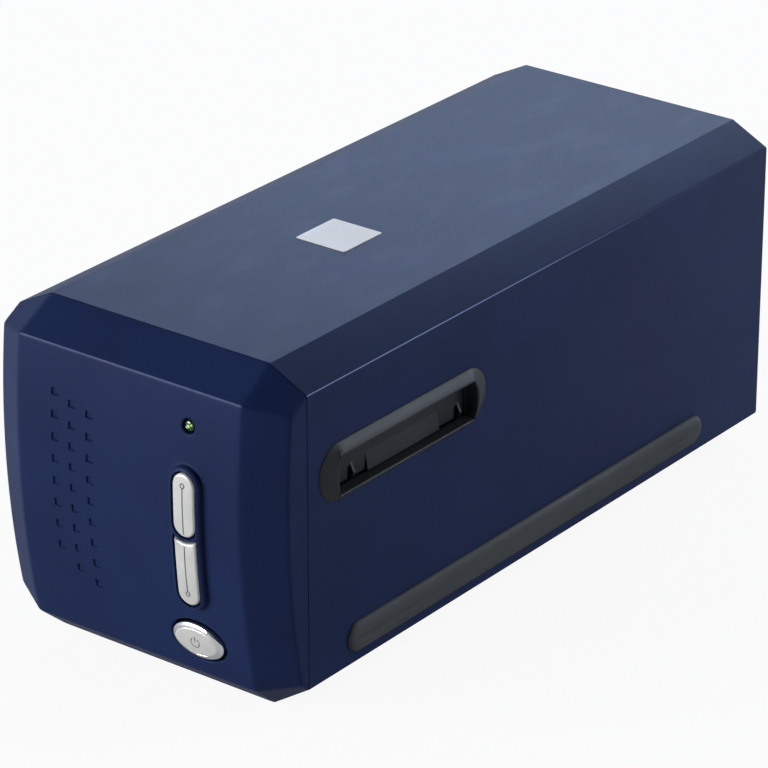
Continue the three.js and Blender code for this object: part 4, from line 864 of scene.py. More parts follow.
@dataclass
class Bezel:
    """Front bezel: bowed face, four cut edges, four corner facets, rim, holes and dimples."""

    body: Body
    columns: int = 50
    rows: int = 54
    corner_steps: int = 11
    edge_steps: int = 22
    halvings: int = 30
    ray_start: float = 6
    ray_end: float = 1.3
    side_shares: tuple[float, ...] = (0, 0.3, 0.6, 0.8, 0.9, 0.95, 0.98, 1)
    insets: tuple[float, ...] = (0.12, 0.26, 0.42, 0.62, 0.9, 1.4, 2.4, 4.0)
    face_rounding: float = 4.8
    side_rounding: float = 4.0
    back_rounding: float = 5.0
    sharp: float = 30
    rim_x: Pair = (18.0, 30.8)
    rim_z: Pair = (34.6, 84.9)
    rim_proud: float = 2.0
    rim_soft: float = 1.6
    rim_foot: tuple[Pair, ...] = ((0.5, 0.02), (0.18, -0.1))
    rim_insets: Pair = (2.6, 3.8)
    lamp_hole: float = 2.5
    lamp_flare: float = 0.55
    power_gap: float = 0.9
    power_flare: float = 0.5
    hole_depth: float = 14
    tool_lead: float = 8
    button_gap: float = 0.75
    button_holes: Pair = (-141, -118.5)
    dimple_columns: tuple[tuple[float, float, float, int], ...] = (
        (-29.3, 94.45, 7.7, 8),
        (-22.3, 92.07, 7.25, 9),
        (-15.2, 90.48, 7.5, 9),
    )
    dimple_half: Pair = (1.2, 1.15)
    dimple_depth: float = 0.5
    dimple_flare: float = 0.26
    dimple_mouth: Pair = (1.2, -0.6)
    dimple_floor: float = 0.94
    tongue: float = 0.92
    groove_depth: float = 0.35

    def planes(self) -> list[tuple[Array, float]]:
        """Corner facets of the right side, through two corners of the section and one of the face.

        Returns:
            For each facet its normal, which points to the front, and its distance from the origin.
        """
        body, made = self.body, []
        for roof, shoulder, edge in (
            (body.roof, body.shoulder, body.face_high), (body.base, body.sill, body.face_low),
        ):
            first = np.array([body.flat_half, body.parting, roof])
            second = np.array([body.half_width, body.parting, shoulder])
            third = np.array([body.face_half, body.face(edge), edge])
            normal = np.cross(second - first, third - first)
            normal /= -math.copysign(np.linalg.norm(normal), normal[1])
            made.append((normal, float(normal @ first)))
        return made

    def outside(self, points: Array, inward: float) -> Array:
        """How far points lie outside the skin, roughly, and below zero inside it.

        The front is the softened greatest of the distances from the bowed face, the cut edges and the
        corner facets. The sides are the same for the body's section. The two are softened together.

        Args:
            points: array of places.
            inward: how far the skin is moved in, for the hollow.

        Returns:
            One number for each point.
        """
        body = self.body
        across, along, level = np.abs(points[..., 0]), points[..., 1], points[..., 2]
        front = body.face(level) - along
        run = body.half_width - body.face_half
        side_cut = (front * run + (across - body.face_half) * body.side_back) / math.hypot(run, body.side_back)
        fields = [front, side_cut]
        for edge, limit, sign in ((body.face_high, body.roof, 1), (body.face_low, body.base, -1)):
            start, rise = float(body.face(edge)), abs(limit - edge)
            reach = body.parting - start
            fields.append(((level - edge) * sign * reach - (along - start) * rise) / math.hypot(reach, rise))
        mirrored = np.stack([across, along, level], axis=-1)
        fields += [mirrored @ normal - distance for normal, distance in self.planes()]
        beyond, above, below = across - body.flat_half, level - body.roof, body.base - level
        cut, high, low = body.half_width - body.flat_half, body.roof - body.shoulder, body.sill - body.base
        sides = [
            across - body.half_width,
            above,
            below,
            (beyond * high + above * cut) / math.hypot(cut, high),
            (beyond * low + below * cut) / math.hypot(cut, low),
        ]
        skins = [smooth_greatest(fields, self.face_rounding), smooth_greatest(sides, self.back_rounding)]
        return smooth_greatest(skins, self.side_rounding) + inward

    def borders(self) -> tuple[Array, Array]:
        """Places round the parting section and round the face's rectangle, as many in both.

        Each side of the face matches a side of the section, and the corners of the face match the
        cut corners.

        Returns:
            The section's places and the face's.
        """
        body = self.body
        half, low, high = body.face_half, body.face_low, body.face_high
        corners = np.array([(half, low), (half, high), (-half, high), (-half, low)])
        section = body.section()
        step = bunched(self.corner_steps + 2)[1:-1, None]
        outer, inner = [], []
        for turn, (start, end) in enumerate(section.reshape(4, 2, 2)):
            share = bunched(self.columns if turn % 2 else self.rows)[:, None]
            first, last, following = corners[turn], corners[(turn + 1) % 4], section[(2 * turn + 2) % 8]
            outer += [start * (1 - share) + end * share, end * (1 - step) + following * step]
            inner += [first * (1 - share) + last * share, np.repeat(last[None], self.corner_steps, axis=0)]
        return placed(np.concatenate(outer), Axis.ALONG_Y, body.parting), body.laid(np.concatenate(inner), 0)

    def skin_points(self, inward: float, back: float) -> tuple[Array, Array]:
        """Rings from the parting line to the face's middle part, and the grid that closes it.

        Args:
            inward: how far the skin is moved in.
            back: Y where the rings start.

        Returns:
            The rings and the middle grid.
        """
        body = self.body
        outer, face = self.borders()
        edge = outer.copy()
        straight = np.abs(np.abs(outer[:, 0]) - body.half_width) < 1e-6
        edge[straight, 1] = np.minimum(body.face(outer[straight, 2]) + body.side_back, body.parting)
        targets = [outer * (1 - share) + edge * share for share in self.side_shares]
        targets += [edge * (1 - share) + face * share for share in bunched(self.edge_steps)[1:]]
        middle = (body.face_low + body.face_high) / 2
        half = np.array([body.face_half, (body.face_high - body.face_low) / 2])
        for inset in self.insets:
            wide, high = (half - inset) / half
            flat = np.stack([face[:, 0] * wide, middle + (face[:, 2] - middle) * high], axis=1)
            targets.append(body.laid(flat, 0))
        reach = half - self.insets[-1]
        across = reach[0] * (2 * bunched(self.columns) - 1)
        level = middle + reach[1] * (2 * bunched(self.rows) - 1)
        across, level = np.meshgrid(across, level, indexing="ij")
        grid = np.stack([across, body.face(level), level], axis=-1)
        centre = np.array([0.0, body.parting + self.ray_start, middle])
        rings = self.onto_skin(np.stack(targets), centre, inward)
        straight_rings = rings[:len(self.side_shares), :, 1]
        np.minimum(straight_rings, back, out=straight_rings)
        rings[0, :, 1] = back
        return rings, self.onto_skin(grid, centre, inward)

    def onto_skin(self, targets: Array, centre: Array, inward: float) -> Array:
        """Slides places along their rays from the centre onto the skin, by halving for all at once.

        Args:
            targets: places near the skin.
            centre: a place well inside.
            inward: how far the skin is moved in.

        Returns:
            Places on the skin.
        """
        low, high = np.zeros(targets.shape[:-1]), np.full(targets.shape[:-1], self.ray_end)
        for _ in range(self.halvings):
            tried = (low + high) / 2
            inside = self.outside(centre + (targets - centre) * tried[..., None], inward) < 0
            low, high = np.where(inside, tried, low), np.where(inside, high, tried)
        return centre + (targets - centre) * ((low + high) / 2)[..., None]

    def shell(self) -> Piece:
        """Closed shell of the bezel: outer skin, inner skin and the stepped ring at the parting line.

        The ring's inner part comes back nearly to the housing, so that the groove isn't open to the
        inside.

        Returns:
            The shell.
        """
        back = self.body.parting - self.body.groove / 2
        tongue_end = back + self.body.groove * self.tongue
        outer, outer_grid = self.skin_points(0, back)
        inner, inner_grid = self.skin_points(self.body.wall, tongue_end)
        foot = outer[0] + (inner[0] - outer[0]) * np.array([self.groove_depth, 0, self.groove_depth])
        tip = placed(foot[:, ::2], Axis.ALONG_Y, tongue_end)
        skin = Skin()
        skin.grid(outer, close_columns=True).grid(outer_grid)
        skin.grid(inner, close_columns=True).grid(inner_grid)
        skin.grid(np.stack([outer[0], foot, tip, inner[0]]), close_columns=True)
        return skin.build("front_bezel_shell", self.sharp)

    def rim(self) -> Piece:
        """Raised rim: its outline is carried forward and rounded over by a quarter circle.

        Returns:
            The closed rim.
        """
        outline = spread(stadium(*zip(self.rim_x, self.rim_z), 16), 120)
        soft, flat = self.rim_soft, self.rim_proud - self.rim_soft
        steps = [(0, self.body.wall / 2), *self.rim_foot]
        steps += [(-soft * less, -flat - soft * sine) for sine, less in quarter(7)]
        steps += [(-inset, -self.rim_proud) for inset in self.rim_insets]
        return lofted("rim_tool", self.body.rings(outline, steps))

    def flared(self, name: str, outline: Array, flare: float) -> Piece:
        """A hole tool whose mouth widens by a quarter circle, so that the hole's edge is soft.

        Args:
            name: name of the tool.
            outline: outline of the hole.
            flare: radius of its edge.

        Returns:
            The closed tool.
        """
        steps = [(0, self.hole_depth), (0, flare)]
        steps += [(flare * less, flare * (1 - sine)) for sine, less in quarter(6)[1:]]
        steps += [(flare + OVERLAP, behind) for behind in (-OVERLAP, -self.tool_lead)]
        return lofted(name, self.body.rings(outline, steps))

    def dimples(self) -> Piece:
        """All dimples as one tool: each is a small pit with slanted walls and a flat floor.

        Returns:
            The tool.
        """
        skin = Skin()
        square = np.array([(-1, -1), (1, -1), (1, 1), (-1, 1)]) * np.array(self.dimple_half)
        flare = 1 + self.dimple_flare / self.dimple_half[0]
        (wider, before), floor = self.dimple_mouth, (self.dimple_floor, self.dimple_depth)
        steps = ((flare * wider, before), (flare, 0.0), (1.0, self.dimple_flare), floor)
        for across, top, pitch, count in self.dimple_columns:
            for row in range(count):
                level = top - pitch * row
                front = float(self.body.face(level))
                rings = [
                    placed(square * share + np.array([across, level]), Axis.ALONG_Y, front + behind)
                    for share, behind in steps
                ]
                skin.tube(np.stack(rings))
        return skin.build("dimple_tool", self.sharp)

    def build(self, buttons: Buttons) -> None:
        """Makes the bezel, with the holes for the buttons and the lamp.

        Args:
            buttons: the buttons and the lamp lens that stand in it.
        """
        piece = self.shell()
        shaped(piece, [self.rim()], "UNION", self.sharp)
        tools = [
            self.flared("lamp_tool", oval(buttons.lens_at, (self.lamp_hole,) * 2, 48), self.lamp_flare),
            self.flared("power_tool", buttons.power_outline(self.power_gap), self.power_flare),
            self.dimples(),
        ]
        shaped(piece, tools, "DIFFERENCE", self.sharp)
        outlines = {"upper_tool": buttons.upper_outline(), "lower_tool": buttons.lower_outline()}
        holes = [
            prism(name, offset(outline, self.button_gap), Axis.ALONG_Y, *self.button_holes)
            for name, outline in outlines.items()
        ]
        shaped(piece, holes, "DIFFERENCE", self.sharp)
        piece.name = "bezel_moulding"
        settle(piece, Finish.NAVY, "housing", "front_bezel")


@dataclass
class Buttons:
    """The two scan buttons, the oval power button and the lamp lens."""

    body: Body
    centre: float = 24.4
    half: float = 4.2
    upper: Pair = (61.13, 82.73)
    lower: Pair = (36.83, 60.23)
    sag: float = 1.3
    proud: float = 2.4
    edge: float = 0.8
    dome: float = 0.22
    dome_shares: tuple[float, ...] = (0.85, 0.65, 0.4, 0.15)
    neck: float = 3.6
    sharp: float = 38
    power_at: Pair = (24.4, 22.72)
    power_half: Pair = (10.2, 6.45)
    power_rise: float = 1.9
    power_edge: float = 1.75
    power_neck: float = 3.4
    power_step: float = 0.25
    power_drop: float = 0.5
    power_shares: tuple[float, ...] = (0.12, 0.3, 0.55, 0.8, 1.0)
    power_dome: float = 0.42
    power_dome_sunk: float = 0.1
    power_dome_shares: tuple[float, ...] = (0.97, 0.9, 0.75, 0.55, 0.35, 0.15)
    power_lap: float = 0.12
    groove: float = 0.24
    # Radius of the dark bars that paint the grooves' shade; their depth is set below.
    groove_shade_radius: float = 0.11
    line_end: float = 0.9
    line_trim: float = 0.1
    groove_shade_sunk: float = 0.02
    eyelets: Pair = (78.8, 41.0)
    eyelet_radius: float = 0.75
    mark_radius: float = 1.65
    mark_bar: Pair = (0.1, 2.0)
    mark_line: float = 0.2
    mark_turn: Pair = (125, 415)
    lens_at: Pair = (24.6, 97.73)
    lens_radius: float = 1.85
    lens_sunk: float = 0.15
    lens_rise: float = 0.8
    lens_neck: float = 6

    def upper_outline(self) -> Array:
        """Stadium of the upper button."""
        low, high = self.upper
        return spread(stadium((self.centre - self.half, low), (self.centre + self.half, high), 20), 96)

    def lower_outline(self) -> Array:
        """Lower button: a round end below and a hollow arc on top.

        Returns:
            Its outline in (x, z).
        """
        low, high = self.lower
        round_end = arc((self.centre, low + self.half), self.half, math.pi, 2 * math.pi, 27)
        radius = (self.half**2 + self.sag**2) / (2 * self.sag)
        reach = math.asin(self.half / radius)
        middle = (self.centre, high - self.sag + radius)
        hollow = arc(middle, radius, 1.5 * math.pi + reach, 1.5 * math.pi - reach, 17)
        return spread(np.concatenate([round_end, hollow]), 100)

    def power_outline(self, grow: float = 0) -> Array:
        """Oval of the power button, or of its hole."""
        return oval(self.power_at, (self.power_half[0] + grow, self.power_half[1] + grow), 96)

    def scan_cap(self, name: str, outline: Array) -> Piece:
        """Cap of a scan button: straight neck, rounded edge and a slightly domed top.

        Args:
            name: name of the cap.
            outline: its outline in (x, z).

        Returns:
            The closed cap.
        """
        edge, proud = self.edge, self.proud
        steps = [(0, self.neck), (0, edge - proud)]
        steps += [(-edge * less, edge * (1 - sine) - proud + self.dome) for sine, less in quarter(6)[1:]]
        top = offset(outline, -edge)
        crown = self.body.dome(top, top.mean(axis=0), self.dome_shares, self.dome, proud)
        return lofted(name, self.body.rings(outline, steps) + crown, self.sharp)

    def line(self, name: str, start: float, end: float, radius: float, sunk: float) -> Piece:
        """Round bar along the middle of a button.

        Args:
            name: name of the bar.
            start: level of one end.
            end: level of the other end.
            radius: radius of the bar.
            sunk: depth of its middle below the button's top.

        Returns:
            The closed bar.
        """
        levels = np.linspace(start, end, 24)
        flat = np.stack([np.full_like(levels, self.centre), levels], axis=1)
        return swept(name, self.body.laid(flat, sunk - self.proud), radius, 8)

    def eyelet(self, name: str, level: float, radius: float, sunk: float) -> Piece:
        """Ring round the end of the engraved line, at a depth below the button's top.

        Args:
            name: name of the ring.
            level: height of its middle.
            radius: radius of the ring's wire.
            sunk: depth of the wire's middle.

        Returns:
            The closed ring.
        """
        circle = unit(turns(28))
        centres = self.body.laid(np.array([self.centre, level]) + self.eyelet_radius * circle, sunk - self.proud)
        outward = placed(circle, Axis.ALONG_Y, 0)
        deep = np.broadcast_to([0.0, 1.0, 0.0], outward.shape)
        return looped(name, hoops(centres, outward, deep, radius, 8))

    def engrave(self, cap: Piece, body: str, start: float, end: float, level: float) -> None:
        """Cuts the line and its eyelet into a button, and lays dark bars in them that paint the grooves' shade.

        Args:
            cap: the button, which is cut.
            body: body that the filling rides on.
            start: one end of the line.
            end: its other end.
            level: height of the eyelet.
        """
        deep = self.groove * 0.4
        tools = [self.line("line", start, end, self.groove, deep), self.eyelet("eye", level, self.groove, deep)]
        shaped(cap, tools, "DIFFERENCE", self.sharp)
        # The dark bars at the grooves' bottoms are painted shade.
        sunk, (low, high) = deep + self.groove_shade_sunk, sorted((start, end))
        line = self.line(f"{cap.name}_line", low + self.line_trim, high - self.line_trim, self.groove_shade_radius, sunk)
        settle(line, Finish.INK_AND_GROOVE_SHADE, body)
        settle(self.eyelet(f"{cap.name}_eyelet", level, self.groove_shade_radius, sunk), Finish.INK_AND_GROOVE_SHADE, body)

    def build_power(self) -> None:
        """Power button as two pieces: the polished edge and the satin dome with its mark."""
        laid, rise, drop, sunk = self.body.rings, self.power_rise, self.power_drop, self.power_dome_sunk
        outline = self.power_outline()
        steps = [(0, self.power_neck), (0, -self.power_step)]
        for share in self.power_shares:
            domed = 0.5 * share + 0.5 * math.sqrt(1 - (1 - share) ** 2)
            steps.append((-self.power_edge * share, -self.power_step - (rise - drop - self.power_step) * domed))
        top = offset(outline, -self.power_edge)
        inner = [(-self.power_lap, sunk + drop - rise), (-self.power_lap, self.power_neck)]
        ring = looped("power_button_edge", laid(outline, steps) + laid(top, inner), 40)
        settle(ring, Finish.POLISHED, "power_button_body", "power_button")
        middle, border = np.array(self.power_at), offset(top, -OVERLAP)
        levels = (self.power_neck - sunk, self.power_dome - rise + sunk)
        neck = [self.body.laid(border, behind) for behind in levels]
        crown = self.body.dome(border, middle, self.power_dome_shares, self.power_dome, rise)
        piece = lofted("power_button_dome", neck + crown, self.sharp)
        circle = arc(self.power_at, self.mark_radius, *np.radians(self.mark_turn), 44)
        levels = middle[1] + np.linspace(*self.mark_bar, 6)
        bar = np.stack([np.full_like(levels, middle[0]), levels], axis=1)
        for name, flat in (("power_mark_arc", circle), ("power_mark_bar", bar)):
            path = self.body.laid(flat, self.mark_line * 0.6 - rise)
            settle(swept(name, path, self.mark_line, 10), Finish.INK_AND_GROOVE_SHADE, "power_button_body")
        settle(piece, Finish.SILVER, "power_button_body")

    def build_lens(self) -> None:
        """Lamp lens: a dome that stands a little way inside its hole."""
        front = float(self.body.face(self.lens_at[1])) + self.lens_sunk
        steps = [(self.lens_radius, front + self.lens_neck)]
        steps += [
            (self.lens_radius * math.cos(angle), front + self.lens_rise * (1 - math.sin(angle)))
            for angle in np.linspace(0, QUARTER * 0.96, 7)
        ]
        rings = [placed(oval(self.lens_at, (radius,) * 2, 40), Axis.ALONG_Y, behind) for radius, behind in steps]
        settle(lofted("lamp_lens_dome", rings, 40), Finish.LENS, "housing", "lamp_lens")

    def build(self) -> None:
        """Makes all buttons and the lens."""
        high, low = self.eyelets
        upper = self.scan_cap("scan_button_upper_cap", self.upper_outline())
        self.engrave(upper, "upper_button", high - self.eyelet_radius, self.upper[0] + self.line_end, high)
        settle(upper, Finish.SILVER, "upper_button", "scan_button_upper")
        lower = self.scan_cap("scan_button_lower_cap", self.lower_outline())
        start = self.lower[1] - self.sag - self.line_end
        self.engrave(lower, "lower_button", start, low + self.eyelet_radius, low)
        settle(lower, Finish.SILVER, "lower_button", "scan_button_lower")
        self.build_power()
        self.build_lens()


@dataclass
class Shell:
    """Top cover and base tray: parts of the body's section carried along Y."""

    body: Body
    rounding: float = 0.9
    fillet_steps: int = 7
    front_rounding: float = 0.12
    rear_rounding: float = 0.4
    seam: float = 0.3
    sharp: float = 28
    sleeve_y: Pair = (-106.1, -32.5)
    sleeve_z: Pair = (71.7, 90.6)
    sleeve_corner: float = 3.3
    screw_places: tuple[Pair, ...] = ((40, -90.8), (40, 97.2), (-40, -90.8), (-40, 97.2))
    well_radius: float = 3.1
    well_levels: Pair = (-2, 5.5)
    window_reach: Pair = (-70, 70)

    def filleted(self, corners: Array) -> Array:
        """Open line through corners, with an arc at each corner between its two ends.

        Args:
            corners: corner points in order.

        Returns:
            Points from the first corner to the last.
        """
        pieces = [corners[:1]]
        for before, here, after in zip(corners[:-2], corners[1:-1], corners[2:]):
            incoming = (here - before) / np.linalg.norm(here - before)
            outgoing = (after - here) / np.linalg.norm(after - here)
            turn = math.acos(float(np.clip(incoming @ outgoing, -1, 1)))
            side = np.sign(incoming[0] * outgoing[1] - incoming[1] * outgoing[0])
            normal = np.array([-incoming[1], incoming[0]]) * side
            centre = here - incoming * (self.rounding * math.tan(turn / 2)) + normal * self.rounding
            angles = np.linspace(0, turn, self.fillet_steps)[:, None]
            pieces.append(centre - self.rounding * (normal * np.cos(angles) - incoming * np.sin(angles)))
        return np.concatenate([*pieces, corners[-1:]])

    def carried(self, name: str, outer: Array, inner: Array) -> Piece:
        """Shell between an outer and an inner line, carried along Y with softened ends.

        Args:
            name: name of the shell.
            outer: corners of the outer line.
            inner: as many corners of the inner line.

        Returns:
            The closed shell.
        """
        front, rear = self.body.parting + self.body.groove / 2, self.body.rear
        early, late = self.front_rounding, self.rear_rounding
        stations = [(front, early), (front + early, 0.0), (rear - late, 0.0)]
        stations += [(rear - late + late * sine, late * less) for sine, less in quarter(4)[1:]]
        loop = np.concatenate([self.filleted(outer), self.filleted(inner)[::-1]])
        count = len(loop) // 2
        normals = loop - offset(loop, -1.0)
        normals[count:] = 0
        rings = [placed(loop - normals * shrink, Axis.ALONG_Y, along) for along, shrink in stations]
        skin = Skin().grid(np.stack(rings), close_columns=True)
        for ring in (rings[0], rings[-1]):
            skin.grid(np.stack([ring[:count], ring[count:][::-1]]))
        return skin.build(name, self.sharp)

    def moulding(self, name: str, level: float, corners: slice) -> Piece:
        """Part of the housing on one side of a level.

        Args:
            name: name of the part.
            level: height of its two edges.
            corners: which corners of the section it has.

        Returns:
            The closed part.
        """
        body, lines = self.body, []
        for inward in (0, body.wall):
            across = body.half_width - inward
            ends = np.array([(across, level), (-across, level)])
            chosen = body.section(inward)[corners]
            ends = ends if chosen[0, 0] > 0 else ends[::-1]
            lines.append(np.concatenate([ends[:1], chosen, ends[1:]]))
        return self.carried(name, *lines)

    def build(self) -> None:
        """Makes the cover, opened for the film slots, and the tray with its screw holes."""
        cover = self.moulding("top_cover_moulding", self.body.sill + self.seam, slice(1, 5))
        window = rounded_box(*zip(self.sleeve_y, self.sleeve_z), self.sleeve_corner, 8)
        tool = prism("slot_tool", window, Axis.ALONG_X, *self.window_reach)
        shaped(cover, [tool], "DIFFERENCE", self.sharp)
        settle(cover, Finish.NAVY, "housing", "top_cover")
        tray = self.moulding("base_tray_moulding", self.body.sill, slice(6, 8))
        wells = [
            prism(f"well_tool_{index}", oval(place, (self.well_radius,) * 2, 32), Axis.ALONG_Z, *self.well_levels)
            for index, place in enumerate(self.screw_places)
        ]
        shaped(tray, wells, "DIFFERENCE", self.sharp)
        settle(tray, Finish.NAVY, "housing", "base_tray")


@dataclass
class FilmSlot:
    """Pill-shaped bezel of the film slot with its domed frame, its mouth and the sleeve behind it."""

    body: Body
    middle: Pair = (-69.3, 80.75)
    size: Pair = (86, 19.9)
    proud: float = 2.0
    edge: float = 0.2
    outer_tilt: float = 41
    inner_tilt: float = 24
    shares: tuple[float, ...] = (0.03, 0.1, 0.2, 0.3, 0.4, 0.5, 0.6, 0.7, 0.8, 0.9, 1.0)
    step: float = 0.9
    mouth_y: Pair = (-103.8, -34.8)
    mouth_z: Pair = (73.4, 86.1)
    bulge: Pair = (0.4, 2.0)
    lintel: float = 55.9
    chamber_roof: float = 89.1
    sleeve_end: float = 43.0
    sleeve_wall: Triple = (2.0, 1.4, 1.2)
    long_steps: int = 40
    end_steps: int = 26
    lip: float = 0.55
    lip_ends: float = 0.1

    def bulged(self, at: float, low: float, high: float, bulge: float) -> Array:
        """End of an outline: an arc through both corners that comes out by the bulge, to its sign's side.

        Args:
            at: place of both corners.
            low: level of the lower corner.
            high: level of the upper corner.
            bulge: how far the arc comes out, or zero for a straight end.

        Returns:
            The points between the corners.
        """
        level = np.linspace(low, high, self.end_steps + 2)[1:-1]
        if abs(bulge) < HAIR:
            return np.stack([np.full_like(level, at), level], axis=1)
        half = (high - low) / 2
        radius = (half**2 + bulge**2) / (2 * abs(bulge))
        reach = math.asin(min(1.0, half / radius))
        turn = np.linspace(-reach, reach, self.end_steps + 2)[1:-1]
        sign = math.copysign(1, bulge)
        across = at + bulge - sign * radius + sign * radius * np.cos(turn)
        return np.stack([across, (low + high) / 2 + radius * np.sin(turn)], axis=1)

    def four_sides(self, low: Pair, high: Pair, bulge: Pair = (0, 0)) -> Array:
        """Outline with straight long edges and two bulging ends.

        Args:
            low: lowest corner.
            high: highest corner.
            bulge: how far the front and the back end come out.

        Returns:
            Points, one row each.
        """
        along = np.linspace(low[0], high[0], self.long_steps)
        bottom = np.stack([along, np.full_like(along, low[1])], axis=1)
        top = np.stack([along[::-1], np.full_like(along, high[1])], axis=1)
        back = self.bulged(high[0], low[1], high[1], bulge[1])
        front = self.bulged(low[0], low[1], high[1], -bulge[0])[::-1]
        return np.concatenate([bottom, back, top, front])

    def rings(self) -> Array:
        """Rings from the flange's edge over the dome, into the mouth, through the sleeve and back.

        The dome's tilt falls evenly from the outer edge to the mouth, so its height is the logarithm of
        the tilt's cosine, scaled to the height wanted.

        Returns:
            The rings of the right bezel, one row each.
        """
        (across, level), (long, tall), lip = self.middle, self.size, self.lip
        (front, low), (back, high) = zip(self.mouth_y, self.mouth_z)
        long, tall = long / 2, tall / 2
        start, end = (across - long + tall, level - tall), (across + long - tall, level + tall)
        outer = self.four_sides(start, end, (tall, tall))
        mouth = self.four_sides((front, low), (back, high), self.bulge)
        bulge = (self.bulge[0] + lip, self.bulge[1] + lip)
        rounded = self.four_sides((front - self.lip_ends, low - lip), (back + self.lip_ends, high + lip), bulge)
        side, roof, (ends, under, over) = self.body.half_width, self.chamber_roof, self.sleeve_wall
        steps = [(outer, side), (outer, side + self.edge * 0.6)]
        steep, gentle = math.radians(self.outer_tilt), math.radians(self.inner_tilt)
        full = math.log(math.cos(gentle) / math.cos(steep))
        for share in self.shares:
            tilt = steep + (gentle - steep) * share
            height = self.edge + (self.proud - self.edge) * math.log(math.cos(tilt) / math.cos(steep)) / full
            steps.append((outer + (rounded - outer) * share, side + height))
        steps += [
            (rounded + (mouth - rounded) * sine, side + self.proud - lip * less) for sine, less in quarter(5)[1:]
        ]
        chamber = self.four_sides((front, low - self.step), (back, roof))
        sleeve = self.four_sides((front - ends, low - under), (back + ends, roof + over))
        steps += [(mouth, self.lintel), (chamber, self.lintel), (chamber, self.sleeve_end)]
        steps += [(sleeve, self.sleeve_end), (sleeve, side)]
        return np.stack([placed(outline, Axis.ALONG_X, level) for outline, level in steps])

    def build(self) -> None:
        """Makes the bezel on both sides."""
        for side, turn in (("right", 1), ("left", -1)):
            piece = looped(f"slot_frame_{side}", self.rings() * np.array([turn, 1, 1]), 34)
            settle(piece, Finish.SLOT, "housing", f"slot_bezel_{side}")


@dataclass
class Trim:
    """Rubber pads and feet, and the bare label on the roof."""

    body: Body
    pad_y: Pair = (-98.3, 100.7)
    pad_z: Pair = (14.3, 24.9)
    pad_sunk: float = 0.4
    pad_edge: float = 0.1
    pad_proud: float = 1.5
    pad_dome: float = 3.2
    feet: tuple[tuple[str, float, float], ...] = (
        ("front_right", 34, -108.8), ("front_left", -34, -108.8), ("rear_right", 34, 111.2), ("rear_left", -34, 111.2),
    )
    foot_profile: tuple[Pair, ...] = ((5.8, 0.0), (6.65, 0.25), (7, 0.9), (7, 2.2))
    label_at: Pair = (-0.6, -26.9)
    label_half: float = 10
    label_corner: float = 0.7
    label_steps: tuple[Pair, ...] = ((0, -0.05), (0, 0.12), (-0.08, 0.2))

    def pad(self) -> Array:
        """Rings of the right pad: a stadium that comes out of the side and rounds over to a soft dome.

        Returns:
            The rings, one row each.
        """
        outline = stadium(*zip(self.pad_y, self.pad_z), 16)
        side, start = self.body.half_width, self.body.half_width + self.pad_edge
        steps = [(0, side - self.pad_sunk), (0, start)]
        steps += [
            (-self.pad_dome * less, start + (self.pad_proud - self.pad_edge) * sine) for sine, less in quarter(9)[1:]
        ]
        return np.stack(stepped(outline, Axis.ALONG_X, steps))

    def build(self) -> None:
        """Makes the pads, the feet and the label."""
        for side, turn in (("right", 1), ("left", -1)):
            piece = lofted(f"rubber_strip_{side}", self.pad() * np.array([turn, 1, 1]), 40)
            settle(piece, Finish.RUBBER, "housing", f"side_pad_{side}")
        for name, *place in self.feet:
            rings = [placed(oval(place, (radius,) * 2, 48), Axis.ALONG_Z, level) for radius, level in self.foot_profile]
            settle(lofted(f"rubber_foot_{name}", rings, 40), Finish.RUBBER, "housing", f"foot_{name}")
        centre, half, roof = np.array(self.label_at), self.label_half, self.body.roof
        outline = rounded_box(centre - half, centre + half, self.label_corner, 6)
        rings = stepped(outline, Axis.ALONG_Z, [(out, roof + rise) for out, rise in self.label_steps])
        settle(lofted("label_film", rings, 20), Finish.FILM, "housing", "top_label")


@dataclass
class Works:
    """CAD nodes that stay: each gets its finish, and the outer ones get softened edges."""

    frame: dict[str, dict[str, Piece]]
    finishes: dict[Finish, tuple[str, ...]] = field(default_factory=lambda: {
        Finish.NAVY: ("rear_panel",),
        Finish.DOOR: ("dust_door_right", "dust_door_left"),
        Finish.STEEL: (
            "base_screw_front_right", "base_screw_front_left", "base_screw_rear_right", "base_screw_rear_left",
            "rear_screw_1", "rear_screw_2", "rear_screw_3", "rear_screw_4", "door_pin_right", "door_pin_left",
            "door_spring_right", "door_spring_left", "usb_socket", "guide_rod_right", "guide_rod_left",
            "lead_screw", "stepper_motor", "motor_bracket", "detent_plunger",
        ),
        Finish.BOARD: ("button_board", "main_board", "sensor_board"),
        Finish.BLACK: (
            "switch_upper", "switch_lower", "switch_power", "processor_chip", "power_inlet",
            "film_guide_lower", "film_guide_upper", "lens_barrel",
        ),
        Finish.GREY: (
            "board_cable", "rod_bracket_front", "rod_bracket_rear", "screw_bearing", "carriage_frame", "lamp_arm",
        ),
        Finish.BRASS: ("drive_nut",),
        Finish.GLASS: ("folding_mirror", "line_sensor"),
        Finish.DIFFUSER: ("lamp_bar",),
    })
    softened: dict[str, float] = field(default_factory=lambda: {
        "rear_panel": 0.35, "dust_door_right": 0.12, "dust_door_left": 0.12, "usb_socket": 0.25,
        "power_inlet": 0.35, "rear_screw_1": 0.15, "rear_screw_2": 0.15, "rear_screw_3": 0.15, "rear_screw_4": 0.15,
    })
    bevel_angle: float = 35

    def build(self) -> None:
        """Dresses every node that is still shown."""
        nodes = self.frame["nodes"]
        for finish, names in self.finishes.items():
            for name in names:
                finish.on(nodes[name])
        for name, width in self.softened.items():
            nodes[name].modifiers.new("weld", "WELD").merge_threshold = 1e-6
            bevel = nodes[name].modifiers.new("bevel", "BEVEL")
            bevel.width, bevel.segments = width * MM, 2
            bevel.limit_method, bevel.angle_limit = "ANGLE", math.radians(self.bevel_angle)
        LOG.info("dressed %d CAD nodes", sum(len(names) for names in self.finishes.values()))


# --- Studio ----------------------------------------------------------------------------------


